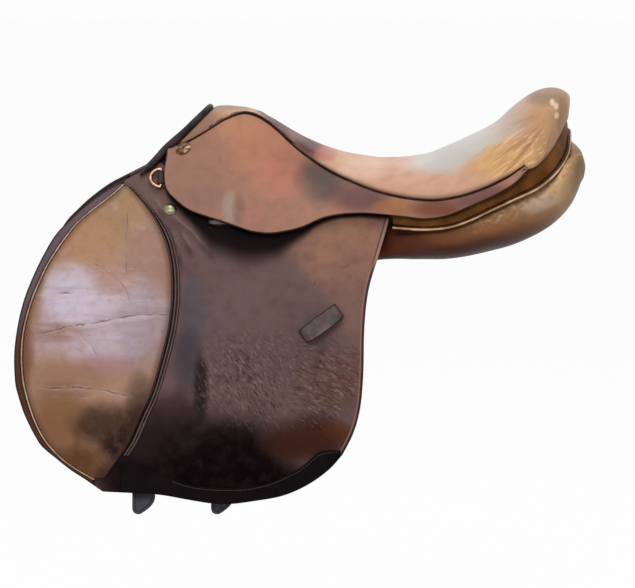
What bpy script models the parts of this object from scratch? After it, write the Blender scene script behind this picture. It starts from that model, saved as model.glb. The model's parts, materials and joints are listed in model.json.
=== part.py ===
"""Close-contact jumping saddle, built from its tree outwards.

Metres. +X runs to the cantle, +Z is up, and the near (left) side is -Y. The origin lies on the
saddle's plane of symmetry, level with the underside of the panels below the lowest part of the seat.
"""
import math

import bmesh
import bpy
from mathutils import Vector

# The two sides of the saddle
NEAR = -1
OFF = 1
SIDE_NAMES = {NEAR: "near", OFF: "off"}

# Flap surface: how far its outer face stands from the middle, at each height
FLAP_FULL_REACH = 0.192
FLAP_KNEE_HALF_WIDTH = 0.066
FLAP_DRAW_IN = FLAP_FULL_REACH - FLAP_KNEE_HALF_WIDTH
FLAP_KNEE_HEIGHT = 0.100
FLAP_CURVE = 0.167

# Leather, wood and steel
FLAP_LEATHER = 0.0040
SKIRT_LEATHER = 0.0035
SEAT_LEATHER = 0.0026
FACING_LEATHER = 0.0030
SWEAT_FLAP_LEATHER = 0.0030
PATCH_LEATHER = 0.0019
SEAT_FOAM = 0.010
RAIL_WIDTH = 0.018
RAIL_THICKNESS = 0.008
HEAD_LENGTH = 0.028
HEAD_THICKNESS = 0.012
PLATE_THICKNESS = 0.0025
SPRING_WIDTH = 0.016
SPRING_THICKNESS = 0.0020
WEB_THICKNESS = 0.0020
SEAT_WEB_WIDTH = 0.050
GIRTH_WEB_WIDTH = 0.036
CANTLE_BOARD_THICKNESS = 0.008
POCKET_LEATHER = 0.0012
CHAPE_LEATHER = 0.0035
SEAT_PIPE_RADIUS = 0.0022
PANEL_PIPE_RADIUS = 0.0032
FACING_PIPE_RADIUS = 0.0034

# Clearances
TOUCH = 0.0003
HINGE_GAP = 0.0006
WEB_CLEARANCE = 0.0010
FOAM_CLEARANCE = 0.0024
FACING_CLEARANCE = 0.0014
FACING_STAND = 0.0028
CHAPE_CLEARANCE = 0.0005

# Depth of each layer below the flap's outer face
OUTER_BILLET_DEPTH = 0.008
MIDDLE_BILLET_DEPTH = 0.013
GIRTH_WEB_DEPTH = 0.0145
GIRTH_WEB_UPPER_DEPTH = 0.0070
POCKET_DEPTH = 0.0172
SWEAT_FLAP_DEPTH = 0.0190
BAR_PLATE_DEPTH = 0.0090

# Flap hinge: a level line just below the skirt and the stirrup bar
FLAP_HINGE_HEIGHT = 0.032
FLAP_HINGE_STAND = 0.003
PAD_CROWN = 0.013
PAD_EDGE = 0.0018
PAD_FULLNESS = 1.25
PAD_BASE_SHARES = (0.94, 0.5, 0.06)
PAD_ROWS = 14
PAD_COLUMNS = 8
KEEPER_LENGTH = 0.050
KEEPER_WIDTH = 0.017
KEEPER_LEATHER = 0.0028
KEEPER_GAP = 0.0078
KEEPER_TILT = math.radians(36)
KEEPER_RAMP = 0.0078
KEEPER_CENTRE = (-0.089, -0.061)
WELT_STRIP_WIDTH = 0.008
WELT_STRIP_LOW = -0.203

# Skirt
SKIRT_STAND = 0.0115
SKIRT_DROP = 0.0055
SKIRT_OUTSET = 0.0045
SKIRT_HINGE_FRONT = (-0.262, 0.100)
SKIRT_HINGE_REAR = (-0.062, 0.057)
SKIRT_HINGE_STAND = 0.0035

# Stirrup bar and its safety catch
BAR_FRONT = -0.212
BAR_REAR = -0.150
BAR_HEIGHT = 0.046
BAR_RADIUS = 0.0040
BAR_PLATE_THICKNESS = 0.0040
BAR_PLATE_BELOW = 0.008
BAR_PLATE_ABOVE = 0.020
BAR_PLATE_AHEAD = 0.004
BAR_PLATE_BEHIND = 0.010
CATCH_BEHIND_BAR = 0.006
CATCH_PIN_RADIUS = 0.0024
CATCH_LENGTH = 0.011
CATCH_THICKNESS = 0.006
CATCH_INSIDE_BAR = 0.0028
WINDOW_AHEAD = 0.010
WINDOW_BEHIND = 0.024
WINDOW_ABOVE = 0.024
WINDOW_DEPTH = 0.080

# How the bar leaves its plate and ends: along, outwards and up from its front and rear ends
BAR_SHOULDER = ((0.0, -0.006, 0.002), (0.003, -0.001, 0.0), (0.009, 0.0, 0.0))
BAR_ROOT_RISE = 0.004
BAR_HOOK = ((-0.010, 0.0, 0.0), (0.0, 0.0, 0.002))

# Dee ring, studs and billets
DEE_BAR_X = -0.266
DEE_HEIGHT = 0.091
DEE_WIRE_RADIUS = 0.0018
DEE_HALF_HEIGHT = 0.0115
DEE_REACH = 0.0115
DEE_STAND = 0.0030
DEE_STEPS = 12
CHAPE_LENGTH = 0.012
CHAPE_HALF_HEIGHT = 0.007
BADGE_SHARES = (0.055, 0.800)
BADGE_RADIUS = 0.009
BADGE_RISE = 0.0030
NAIL_PLACE = (-0.255, 0.060)
NAIL_RADIUS = 0.007
NAIL_RISE = 0.0030
DOME_SEGMENTS = 16
DOME_RINGS = 6
BILLET_WIDTH = 0.025
BILLET_LEATHER = 0.0032
BILLET_TOP = 0.032
BILLET_TIP = -0.268
BILLET_POINT = 0.016
BILLET_ROWS = 8
BILLET_POINT_ROWS = ((0.25, 0.72), (0.0, 0.30))
MIDDLE_BILLET_SHORTER = 0.035
BILLET_PLACES = {
    "front": (-0.288, OUTER_BILLET_DEPTH, BILLET_TIP),
    "middle": (-0.245, MIDDLE_BILLET_DEPTH, BILLET_TIP + MIDDLE_BILLET_SHORTER),
    "rear": (-0.202, OUTER_BILLET_DEPTH, BILLET_TIP),
}

# Seat: seam on one side (x, half width, z) beside the middle line above it (x, z)
SEAT_HOOPS = (
    ((-0.2495, 0.0460, 0.1300), (-0.2090, 0.1695)),
    ((-0.2440, 0.0480, 0.1315), (-0.2030, 0.1705)),
    ((-0.2350, 0.0500, 0.1345), (-0.1960, 0.1710)),
    ((-0.212, 0.052, 0.148), (-0.188, 0.1705)),
    ((-0.194, 0.049, 0.159), (-0.181, 0.1695)),
    ((-0.172, 0.044, 0.165), (-0.169, 0.1675)),
    ((-0.147, 0.047, 0.154), (-0.147, 0.1582)),
    ((-0.110, 0.058, 0.122), (-0.110, 0.1370)),
    ((-0.071, 0.072, 0.098), (-0.071, 0.1210)),
    ((-0.024, 0.095, 0.080), (-0.024, 0.1125)),
    ((0.024, 0.118, 0.073), (0.024, 0.1150)),
    ((0.058, 0.134, 0.077), (0.055, 0.1260)),
    ((0.087, 0.146, 0.087), (0.082, 0.1380)),
    ((0.112, 0.150, 0.099), (0.107, 0.1510)),
    ((0.132, 0.149, 0.106), (0.127, 0.1690)),
    ((0.146, 0.143, 0.110), (0.146, 0.1830)),
    ((0.160, 0.125, 0.121), (0.163, 0.1900)),
    ((0.172, 0.090, 0.135), (0.178, 0.1895)),
    ((0.182, 0.045, 0.149), (0.1885, 0.1830)),
    ((0.1862, 0.020, 0.1530), (0.1898, 0.1740)),
    ((0.1868, 0.004, 0.1545), (0.1885, 0.1590)),
)
SEAT_ROUNDNESS = 2.3
SEAT_CROWN = 1.6
FOAM_FIRST_HOOP = 5
FOAM_LAST_HOOP = 17
FOAM_MARGIN_SHARE = 0.22

# Where the pommel facing runs down past the flap's top corner (x, z), over the dee
FACING_LEGS = ((-0.2885, DEE_HEIGHT + 0.0066), (-0.2757, DEE_HEIGHT + 0.0170), (-0.2636, DEE_HEIGHT + 0.0303))

# Line where the seat meets the skirt: the seat's own seam, as far as the skirt's tail (x, half width, z)
SKIRT_TAIL_TOP = (0.137, 0.150, 0.112)
SEAT_WELT = tuple(seam for seam, _ in SEAT_HOOPS if seam[0] < SKIRT_TAIL_TOP[0] - 0.02) + (SKIRT_TAIL_TOP,)

# Lower edge of the skirt. In front, its width follows the flap; the tail has widths of its own
SKIRT_EDGE_FRONT = (
    (-0.261, 0.112), (-0.262, 0.096), (-0.259, 0.082), (-0.250, 0.072), (-0.235, 0.061),
    (-0.216, 0.054), (-0.200, 0.049), (-0.185, 0.044), (-0.166, 0.038), (-0.147, 0.036),
    (-0.129, 0.038), (-0.109, 0.043), (-0.081, 0.054), (-0.045, 0.057),
)
SKIRT_EDGE_TAIL = (
    (-0.002, 0.114, 0.054), (0.024, 0.125, 0.052), (0.048, 0.136, 0.056), (0.071, 0.146, 0.066),
    (0.104, 0.157, 0.082), (0.129, 0.157, 0.098), (0.139, 0.155, 0.105),
)

# Flap outline in side view (x, z)
FLAP_FRONT = (
    (-0.2605, 0.1175), (-0.2770, 0.1063), (-0.2907, 0.0991), (-0.3079, 0.0900), (-0.3300, 0.0781),
    (-0.3522, 0.0615), (-0.3661, 0.0486), (-0.3802, 0.0340), (-0.3910, 0.0166), (-0.4030, -0.0075),
    (-0.4138, -0.0350), (-0.4205, -0.0630), (-0.4240, -0.0940), (-0.4228, -0.1240), (-0.4192, -0.1392),
    (-0.4137, -0.1559), (-0.4068, -0.1710), (-0.4000, -0.1835), (-0.3930, -0.1937), (-0.3776, -0.2066),
    (-0.3623, -0.2187), (-0.3470, -0.2286), (-0.3268, -0.2425),
)
FLAP_TOP = (
    FLAP_FRONT[0], (-0.2500, 0.1080), (-0.225, 0.105), (-0.180, 0.105), (-0.140, 0.097),
    (-0.100, 0.082), (-0.060, 0.069), (-0.013, 0.058),
)
FLAP_REAR = (
    FLAP_TOP[-1], (-0.0155, 0.0450), (-0.0250, 0.0140), (-0.0350, -0.0170), (-0.0395, -0.0420),
    (-0.0418, -0.0710), (-0.0424, -0.1050), (-0.0437, -0.1300), (-0.0460, -0.1510), (-0.0503, -0.1695),
    (-0.0560, -0.1845), (-0.0655, -0.2025),
)
FLAP_BOTTOM = (
    FLAP_FRONT[-1], (-0.2960, -0.2440), (-0.2645, -0.2460), (-0.2344, -0.2512), (-0.2094, -0.2552),
    (-0.1894, -0.2560), (-0.1643, -0.2531), (-0.1310, -0.2470), (-0.1043, -0.2356), (-0.0809, -0.2191),
    FLAP_REAR[-1],
)
FLAP_GRID = (18, 14)
HEM_ARC = (
    (-0.3072, -0.2116), (-0.2900, -0.2140), (-0.2705, -0.2192), (-0.2552, -0.2265), (-0.2415, -0.2322),
    (-0.2247, -0.2365), (-0.1977, -0.2384), (-0.1710, -0.2379), (-0.1493, -0.2337), (-0.1343, -0.2279),
    (-0.1143, -0.2180), (-0.1043, -0.2105), (-0.0943, -0.2015), (-0.0843, -0.1975), (-0.0655, -0.1978),
)
HEM_REAR_MARGIN = 0.002
PAD_FRONT = (
    (-0.3060, 0.0865), (-0.3190, 0.0750), (-0.3303, 0.0665), (-0.3441, 0.0560), (-0.3578, 0.0438),
    (-0.3710, 0.0270), (-0.3809, 0.0125), (-0.3890, -0.0010), (-0.3958, -0.0157), (-0.4022, -0.0305),
    (-0.4068, -0.0445), (-0.4111, -0.0606), (-0.4140, -0.0780), (-0.4148, -0.0950), (-0.4142, -0.1090),
    (-0.4125, -0.1245), (-0.4090, -0.1389), (-0.4044, -0.1540), (-0.3985, -0.1691), (-0.3913, -0.1827),
    (-0.3821, -0.1948), (-0.3698, -0.2070), (-0.3560, -0.2170), (-0.3440, -0.2240), (-0.3350, -0.2290),
)
PAD_REAR = (
    (-0.305, 0.088), (-0.286, 0.069), (-0.271, 0.049), (-0.260, 0.027), (-0.254, 0.003),
    (-0.252, -0.022), (-0.253, -0.046), (-0.258, -0.078), (-0.273, -0.132), (-0.286, -0.162),
    (-0.298, -0.189), (-0.313, -0.211), (-0.326, -0.229),
)

# Under flap: its top, its two lower corners, and how far it lies inside the flap's own outline
SWEAT_FLAP_TOP = ((-0.300, 0.042), (-0.200, 0.043), (-0.100, 0.044), (-0.034, 0.036))
SWEAT_FLAP_FRONT_LOW = (-0.328, -0.233)
SWEAT_FLAP_REAR_LOW = (-0.078, -0.196)
SWEAT_FLAP_INSET = 0.008
POCKET_FRONT_LOW = (-0.282, 0.016)
POCKET_LENGTH = 0.040
POCKET_HEIGHT = 0.032

# Seam between the cantle facing and the panel, near end to the back (x, half width, z)
PANEL_SEAM = (
    (-0.010, 0.106, 0.041), (0.021, 0.122, 0.040), (0.048, 0.135, 0.043), (0.071, 0.144, 0.051),
    (0.095, 0.151, 0.063), (0.120, 0.153, 0.075), (0.146, 0.148, 0.087), (0.167, 0.128, 0.103),
    (0.181, 0.090, 0.120), (0.188, 0.042, 0.137), (0.190, 0.0, 0.143),
)
FACING_TOP = (
    (-0.010, 0.101, 0.060), (0.021, 0.113, 0.057), (0.048, 0.124, 0.060), (0.071, 0.135, 0.072),
    (0.095, 0.143, 0.086), (0.118, 0.1465, 0.0975), (0.141, 0.1425, 0.1060), (0.1585, 0.123, 0.1175),
    (0.1725, 0.088, 0.1315), (0.1825, 0.042, 0.1455), (0.1862, 0.0, 0.1500),
)

# Panel stations: x, top end, middle, bottom end of its curved middle line (half width, z), half thickness
PANEL_STATIONS = (
    (0.201, (0.056, 0.116), (0.072, 0.104), (0.086, 0.103), 0.006),
    (0.196, (0.042, 0.122), (0.081, 0.086), (0.104, 0.108), 0.017),
    (0.183, (0.034, 0.122), (0.086, 0.057), (0.113, 0.111), 0.025),
    (0.165, (0.032, 0.105), (0.0905, 0.038), (0.129, 0.097), 0.026),
    (0.140, (0.032, 0.086), (0.093, 0.025), (0.1435, 0.0785), 0.025),
    (0.106, (0.032, 0.068), (0.092, 0.016), (0.149, 0.062), 0.024),
    (0.056, (0.032, 0.054), (0.088, 0.010), (0.135, 0.039), 0.021),
    (0.017, (0.032, 0.050), (0.079, 0.009), (0.116, 0.032), 0.019),
    (-0.025, (0.033, 0.051), (0.067, 0.016), (0.093, 0.014), 0.015),
    (-0.060, (0.033, 0.056), (0.062, 0.020), (0.092, -0.010), 0.012),
    (-0.110, (0.032, 0.067), (0.058, 0.034), (0.105, -0.046), 0.011),
    (-0.170, (0.030, 0.076), (0.052, 0.038), (0.110, -0.068), 0.010),
    (-0.230, (0.029, 0.076), (0.048, 0.044), (0.110, -0.075), 0.009),
    (-0.280, (0.036, 0.072), (0.056, 0.042), (0.110, -0.070), 0.009),
    (-0.315, (0.056, 0.064), (0.078, 0.030), (0.110, -0.060), 0.008),
    (-0.335, (0.078, 0.034), (0.092, 0.000), (0.110, -0.045), 0.004),
)
PANEL_RING = 7
PANEL_RINGS = 29
PANEL_SQUARENESS = 3.2

# Tree (x, half width, z)
HEAD_ARCH = (
    (-0.196, 0.0, 0.156), (-0.199, 0.014, 0.152), (-0.208, 0.025, 0.141), (-0.222, 0.031, 0.122),
)

# Points of the tree below the arch (x, how far inside the flap's outer face, z)
HEAD_POINTS = ((-0.236, 0.0235, 0.098), (-0.245, 0.0270, 0.076), (-0.254, 0.0285, 0.052))
RAIL_LINE = (
    (-0.190, 0.040, 0.112), (-0.150, 0.043, 0.103), (-0.110, 0.048, 0.091), (-0.060, 0.060, 0.078),
    (0.0, 0.076, 0.069), (0.060, 0.092, 0.074), (0.102, 0.097, 0.086),
)
SEAT_WEB_LINE = (
    (-0.172, 0.0, 0.136), (-0.140, 0.0, 0.126), (-0.100, 0.0, 0.1095), (-0.050, 0.0, 0.093), (0.0, 0.0, 0.088),
    (0.050, 0.0, 0.097), (0.090, 0.0, 0.113), (0.124, 0.0, 0.134),
)

# Webs over the rails: x at each height on the way up, where they cross the rail, and their shoulder height
GIRTH_WEBS = {
    "front_girth_web": ((-0.266, -0.236, -0.204, -0.178), (-0.160, 0.054, 0.1175), 0.100),
    "rear_girth_web": ((-0.196, -0.166, -0.134, -0.118), (-0.108, 0.056, 0.1035), 0.094),
}
GIRTH_WEB_LEVELS = (0.070, 0.087)
GIRTH_WEB_LAP = 0.014
CANTLE_BOARD_BACK = 0.158
CANTLE_BOARD_HALF_WIDTH = 0.104
CANTLE_BOARD_SWEEP = 0.040
CANTLE_BOARD_LOW = 0.120
CANTLE_BOARD_HIGH = 0.166
CANTLE_BOARD_LOW_FALL = 0.018
CANTLE_BOARD_HIGH_FALL = 0.054
CANTLE_BOARD_STEPS = 10

LEATHER_COLOURS = {
    "seat": (0.55, 0.34, 0.20),
    "skirt": (0.40, 0.20, 0.12),
    "flap": (0.13, 0.08, 0.07),
    "pad": (0.40, 0.23, 0.12),
    "panel": (0.48, 0.26, 0.11),
    "edge": (0.04, 0.02, 0.018),
}


def clear_scene():
    """Remove every object, so that the file holds the saddle alone."""
    for obj in list(bpy.data.objects):
        bpy.data.objects.remove(obj, do_unlink=True)


def material(name, colour, roughness=0.5, metallic=0.0):
    """A plain Principled material, made once for each name."""
    found = bpy.data.materials.get(name)
    if found:
        return found
    made = bpy.data.materials.new(name)
    made.use_nodes = True
    shader = made.node_tree.nodes["Principled BSDF"]
    shader.inputs["Base Color"].default_value = (*colour, 1.0)
    shader.inputs["Roughness"].default_value = roughness
    shader.inputs["Metallic"].default_value = metallic
    made.diffuse_color = (*colour, 1.0)
    return made


def leather(kind):
    """Finished leather in one of the saddle's colours."""
    return material(kind + "_leather", LEATHER_COLOURS[kind], 0.42)


def brass():
    return material("brass", (0.45, 0.36, 0.16), 0.35, 1.0)


def steel():
    return material("steel", (0.55, 0.55, 0.54), 0.35, 1.0)


def wood():
    return material("beech", (0.55, 0.38, 0.22), 0.6)


def webbing():
    return material("webbing", (0.62, 0.58, 0.48), 0.85)


def foam():
    return material("foam", (0.80, 0.76, 0.62), 0.9)


class Route:
    """A smooth curve through points, read by the share of its length or where it crosses a value."""

    STEPS = 8

    def __init__(self, points):
        points = [Vector(point) if len(point) == 3 else Vector((point[0], 0.0, point[1])) for point in points]
        ends = [2 * points[0] - points[1]] + points + [2 * points[-1] - points[-2]]
        self.samples = []
        for first, start, stop, last in zip(ends, ends[1:], ends[2:], ends[3:]):
            for step in range(self.STEPS):
                self.samples.append(self.blend(first, start, stop, last, step / self.STEPS))
        self.samples.append(points[-1])
        self.lengths = [0.0]
        for a, b in zip(self.samples, self.samples[1:]):
            self.lengths.append(self.lengths[-1] + (b - a).length)

    @staticmethod
    def blend(first, start, stop, last, t):
        """Catmull-Rom spline between two of the points."""
        return 0.5 * (2 * start + (stop - first) * t + (2 * first - 5 * start + 4 * stop - last) * t ** 2
                      + (3 * start - first - 3 * stop + last) * t ** 3)

    def at(self, share):
        """Point at a share, 0 to 1, of the curve's length."""
        goal = min(max(share, 0.0), 1.0) * self.lengths[-1]
        for index in range(1, len(self.lengths)):
            if self.lengths[index] >= goal - 1e-12:
                break
        start, stop = self.lengths[index - 1], self.lengths[index]
        part = (goal - start) / (stop - start)
        return self.samples[index - 1].lerp(self.samples[index], part)

    def cross(self, axis, value):
        """First point where the curve's coordinate on an axis equals a value, or its nearer end."""
        for a, b in zip(self.samples, self.samples[1:]):
            if min(a[axis], b[axis]) <= value <= max(a[axis], b[axis]) and a[axis] != b[axis]:
                return a.lerp(b, (value - a[axis]) / (b[axis] - a[axis]))
        return min((self.samples[0], self.samples[-1]), key=lambda point: abs(point[axis] - value))

    def points(self, count):
        return [self.at(index / (count - 1)) for index in range(count)]


def flap_half_width(z):
    """Half width of the flap's outer face at a height: close in at the withers, then almost upright."""
    return FLAP_FULL_REACH - FLAP_DRAW_IN * math.exp((z - FLAP_KNEE_HEIGHT) / FLAP_CURVE)


def layer(z, depth):
    """Half width at a height of a surface that lies the given depth inside the flap's outer face."""
    slope = (flap_half_width(z) - FLAP_FULL_REACH) / FLAP_CURVE
    return flap_half_width(z) - depth * math.sqrt(1 + slope * slope)


def flap_normal(side, z):
    """Outward normal of the flap's outer face at a height."""
    slope = (flap_half_width(z) - FLAP_FULL_REACH) / FLAP_CURVE
    return Vector((0.0, side, -slope)).normalized()


def on_side(side, point):
    """Turn a point with a half width into a point on one side of the saddle."""
    return Vector((point[0], side * point[1], point[2]))


def add_object(name, mesh, finish):
    """Link a mesh to the saddle's collection under its node's name."""
    obj = bpy.data.objects.new(name, mesh)
    mesh.materials.append(finish)
    bpy.data.collections["saddle"].objects.link(obj)
    return obj


def mesh_from(bm, name):
    mesh = bpy.data.meshes.new(name)
    bm.to_mesh(mesh)
    bm.free()
    mesh.shade_smooth()
    mesh.set_sharp_from_angle(angle=math.radians(40))
    return mesh


def sheet_mesh(columns, rows, place, outward):
    """A grid laid over a surface: place(u, v) gives its points, and its faces look along outward."""
    bm = bmesh.new()
    bmesh.ops.create_grid(bm, x_segments=columns, y_segments=rows, size=0.5)
    for vert in bm.verts:
        vert.co = place(vert.co.x + 0.5, vert.co.y + 0.5)
    bm.normal_update()
    if sum((face.normal * face.calc_area()).dot(outward) for face in bm.faces) < 0:
        bmesh.ops.reverse_faces(bm, faces=bm.faces[:])
    return bm


def keep_side(bm, point, normal):
    """Cut a sheet with a plane and keep what lies behind the plane's normal."""
    bmesh.ops.bisect_plane(bm, geom=bm.verts[:] + bm.edges[:] + bm.faces[:], dist=1e-6,
                           plane_co=point, plane_no=normal, clear_outer=True)


def add_thickness(obj, thickness, offset=-1.0):
    """Give a sheet its thickness, inwards from the modelled face."""
    solid = obj.modifiers.new("leather", "SOLIDIFY")
    solid.thickness = thickness
    solid.offset = offset
    solid.use_even_offset = True


def sheet(name, columns, rows, place, outward, thickness, finish):
    bm = sheet_mesh(columns, rows, place, outward)
    obj = add_object(name, mesh_from(bm, name), finish)
    add_thickness(obj, thickness)
    return obj


def loft(name, rings, finish):
    """A closed body through rings of points, capped at both ends."""
    bm = bmesh.new()
    loops = [[bm.verts.new(point) for point in ring] for ring in rings]
    count = len(rings[0])
    for start, stop in zip(loops, loops[1:]):
        for index in range(count):
            after = (index + 1) % count
            bm.faces.new((start[index], start[after], stop[after], stop[index]))
    bm.faces.new(reversed(loops[0]))
    bm.faces.new(loops[-1])
    bmesh.ops.triangulate(bm, faces=[face for face in bm.faces if len(face.verts) > 4])
    bmesh.ops.recalc_face_normals(bm, faces=bm.faces[:])
    return add_object(name, mesh_from(bm, name), finish)


def strip(name, centres, across, half_width, half_thick, finish):
    """A flat bar that follows centres; its half width is one value, or a list with one for each centre."""
    halves = half_width if isinstance(half_width, list) else [half_width] * len(centres)
    rings = []
    last = len(centres) - 1
    for index, centre in enumerate(centres):
        along = (centres[min(index + 1, last)] - centres[max(index - 1, 0)]).normalized()
        thick = along.cross(across).normalized() * half_thick
        width = across * halves[index]
        rings.append([centre + width + thick, centre - width + thick,
                      centre - width - thick, centre + width - thick])
    return loft(name, rings, finish)


def tube(name, points, radius, finish, closed=False):
    """A round cord or wire along a poly line."""
    curve = bpy.data.curves.new(name, "CURVE")
    curve.dimensions = "3D"
    curve.bevel_depth = radius
    curve.bevel_resolution = 1
    curve.use_fill_caps = not closed
    spline = curve.splines.new("POLY")
    spline.points.add(len(points) - 1)
    spline.use_cyclic_u = closed
    for target, point in zip(spline.points, points):
        target.co = (*point, 1.0)
    obj = bpy.data.objects.new(name, curve)
    curve.materials.append(finish)
    bpy.data.collections["saddle"].objects.link(obj)
    return obj


def dome(name, place, normal, radius, rise, finish):
    """A round-headed stud with a flat back, standing at place along a normal."""
    bm = bmesh.new()
    bmesh.ops.create_uvsphere(bm, u_segments=DOME_SEGMENTS, v_segments=DOME_RINGS, radius=1.0)
    bmesh.ops.bisect_plane(bm, geom=bm.verts[:] + bm.edges[:] + bm.faces[:], dist=1e-4,
                           plane_co=(0, 0, 0), plane_no=(0, 0, 1), clear_inner=True)
    bmesh.ops.holes_fill(bm, edges=[edge for edge in bm.edges if edge.is_boundary], sides=0)
    bmesh.ops.scale(bm, verts=bm.verts[:], vec=(radius, radius, rise))
    turn = Vector((0, 0, 1)).rotation_difference(normal).to_matrix()
    for vert in bm.verts:
        vert.co = place + turn @ vert.co
    bmesh.ops.recalc_face_normals(bm, faces=bm.faces[:])
    return add_object(name, mesh_from(bm, name), finish)


def both_sides(maker):
    """Build a piece for the near side and again for the off side."""
    for side, word in SIDE_NAMES.items():
        maker(side, word)


# Seat

def hoop_point(seam, spine, share):
    """Point on a seat hoop; share runs from -1 at the near seam to 1 at the off seam."""
    rise = max(1 - abs(share) ** SEAT_ROUNDNESS, 0.0) ** (1 / SEAT_CROWN)
    return Vector((seam[0] + (spine[0] - seam[0]) * rise, seam[1] * share,
                   seam[2] + (spine[1] - seam[2]) * rise))


def seat_surface(first, last):
    """The seat's outer face between two of its hoops, as a function of two shares."""
    seams = Route([seam for seam, _ in SEAT_HOOPS[first:last + 1]])
    spines = Route([spine for _, spine in SEAT_HOOPS[first:last + 1]])
    steps = last - first

    def place(u, v):
        index = min(int(u * steps + 1e-6), steps - 1)
        part = u * steps - index
        spot = (index + part) * Route.STEPS
        low = min(int(spot + 1e-6), len(seams.samples) - 2)
        seam = seams.samples[low].lerp(seams.samples[low + 1], spot - low)
        spine = spines.samples[low].lerp(spines.samples[low + 1], spot - low)
        return hoop_point(seam, (spine.x, spine.z), math.sin((v - 0.5) * math.pi))

    return place


def make_seat():
    """Seat cover over its foam, drawn over the tree."""
    hoops = len(SEAT_HOOPS) - 1
    sheet("seat_cover", hoops, 14, seat_surface(0, hoops), Vector((0, 0, 1)), SEAT_LEATHER, leather("seat"))
    whole = seat_surface(0, hoops)
    first, last = FOAM_FIRST_HOOP / hoops, FOAM_LAST_HOOP / hoops

    def place(u, v):
        return whole(first + (last - first) * u, FOAM_MARGIN_SHARE + (1 - 2 * FOAM_MARGIN_SHARE) * v)

    bm = sheet_mesh(13, 8, place, Vector((0, 0, 1)))
    for vert in bm.verts:
        vert.co -= vert.normal * (SEAT_LEATHER + FOAM_CLEARANCE)
    obj = add_object("seat_foam", mesh_from(bm, "seat_foam"), foam())
    add_thickness(obj, SEAT_FOAM)


def make_seat_welt(side, word):
    """Piping sewn into the seam between the seat and the skirt."""
    out = Vector((0.0, SEAT_PIPE_RADIUS + 4 * TOUCH, -SEAT_PIPE_RADIUS * 0.7))
    points = [on_side(side, point + out) for point in Route(SEAT_WELT).points(20)]
    tube(word + "_seat_welt", points, SEAT_PIPE_RADIUS, leather("skirt"))


def make_pommel_facing():
    """Dark leather roll that finishes the front of the pommel, from one flap to the other."""
    seam, spine = SEAT_HOOPS[0]
    off = Vector((-(FACING_PIPE_RADIUS + FACING_STAND), 0.0, -FACING_PIPE_RADIUS * 0.2))
    arch = [hoop_point(seam, spine, math.sin(math.radians(angle))) + off for angle in range(-72, 73, 12)]
    low = [Vector((x, layer(z, -(FACING_PIPE_RADIUS + 2 * TOUCH)), z)) for x, z in FACING_LEGS]
    legs = [on_side(NEAR, point) for point in low] + arch + [on_side(OFF, point) for point in reversed(low)]
    tube("pommel_facing", legs, FACING_PIPE_RADIUS, leather("edge"))


def along_back(points):
    """Carry a near-side line round the back of the cantle to the off side."""
    near = [on_side(NEAR, point) for point in points]
    return near + [on_side(OFF, point) for point in reversed(points[:-1])]


def make_cantle_facing():
    """Band of leather under the seat's edge, from one side round the back to the other."""
    top = Route(along_back([Vector(point) for point in FACING_TOP]))
    seams = [Vector(point) for point in PANEL_SEAM]
    tops = [Vector(point) for point in FACING_TOP]
    lows = [seam + (top - seam).normalized() * (PANEL_PIPE_RADIUS + FACING_CLEARANCE)
            for seam, top in zip(seams, tops)]
    low = Route(along_back(lows))

    def place(u, v):
        return low.at(u).lerp(top.at(u), v)

    bm = sheet_mesh(34, 1, place, Vector((0, 0, 1)))
    middle = Vector((0.0, 0.0, 0.08))
    if sum((f.calc_center_median() - middle).dot(f.normal) * f.calc_area() for f in bm.faces) < 0:
        bmesh.ops.reverse_faces(bm, faces=bm.faces[:])
    obj = add_object("cantle_facing", mesh_from(bm, "cantle_facing"), leather("skirt"))
    add_thickness(obj, FACING_LEATHER)


def make_panel_welt():
    """Piping between the cantle facing and the panels."""
    points = Route(along_back([Vector(point) for point in PANEL_SEAM])).points(34)
    tube("panel_welt", points, PANEL_PIPE_RADIUS, leather("edge"))


# Skirts

def skirt_place(side):
    """The skirt's outer face, from the seat seam (v = 1) to its lower edge (v = 0)."""
    down = Vector((0.0, SKIRT_OUTSET, -SKIRT_DROP))
    top = Route([Vector(point) + down for point in SEAT_WELT])
    front = [(x, flap_half_width(z) + SKIRT_STAND, z) for x, z in SKIRT_EDGE_FRONT]
    low = Route(front + list(SKIRT_EDGE_TAIL))

    def place(u, v):
        return on_side(side, low.at(u).lerp(top.at(u), v))

    return place


def skirt_hinge(side):
    """Two points on the line about which the skirt lifts."""
    ends = []
    for x, z in (SKIRT_HINGE_FRONT, SKIRT_HINGE_REAR):
        ends.append(on_side(side, (x, flap_half_width(z) + SKIRT_STAND + SKIRT_HINGE_STAND, z)))
    return ends


def make_skirt(side, word):
    """Skirt over the stirrup bar: a fixed top with the tail, and the part that lifts."""
    front, rear = skirt_hinge(side)
    line = (rear - front).normalized()
    down = line.cross(flap_normal(side, (front.z + rear.z) / 2))
    down = -down if down.z > 0 else down
    outward = Vector((0, side, 0))
    for name, towards, in ((word + "_skirt_top", down), (word + "_skirt", -down)):
        bm = sheet_mesh(24, 4, skirt_place(side), outward)
        keep_side(bm, front - towards * HINGE_GAP / 2, towards)
        obj = add_object(name, mesh_from(bm, name), leather("skirt"))
        add_thickness(obj, SKIRT_LEATHER)


# Flaps

def coons(front, rear, top, bottom):
    """Patch between four outlines in side view; u runs front to rear, v from the bottom up."""

    def place(u, v):
        sides = front.at(1 - v).lerp(rear.at(1 - v), u)
        ends = bottom.at(u).lerp(top.at(u), v)
        corners = bottom.at(0).lerp(bottom.at(1), u).lerp(top.at(0).lerp(top.at(1), u), v)
        return sides + ends - corners

    return place


def flap_plan():
    return coons(Route(FLAP_FRONT), Route(FLAP_REAR), Route(FLAP_TOP), Route(FLAP_BOTTOM))


def lay_on(side, plan, depth):
    """Lay a side view on a surface a given depth inside the flap's outer face."""

    def place(u, v):
        point = plan(u, v)
        return on_side(side, (point.x, layer(point.z, depth), point.z))

    return place


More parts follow.
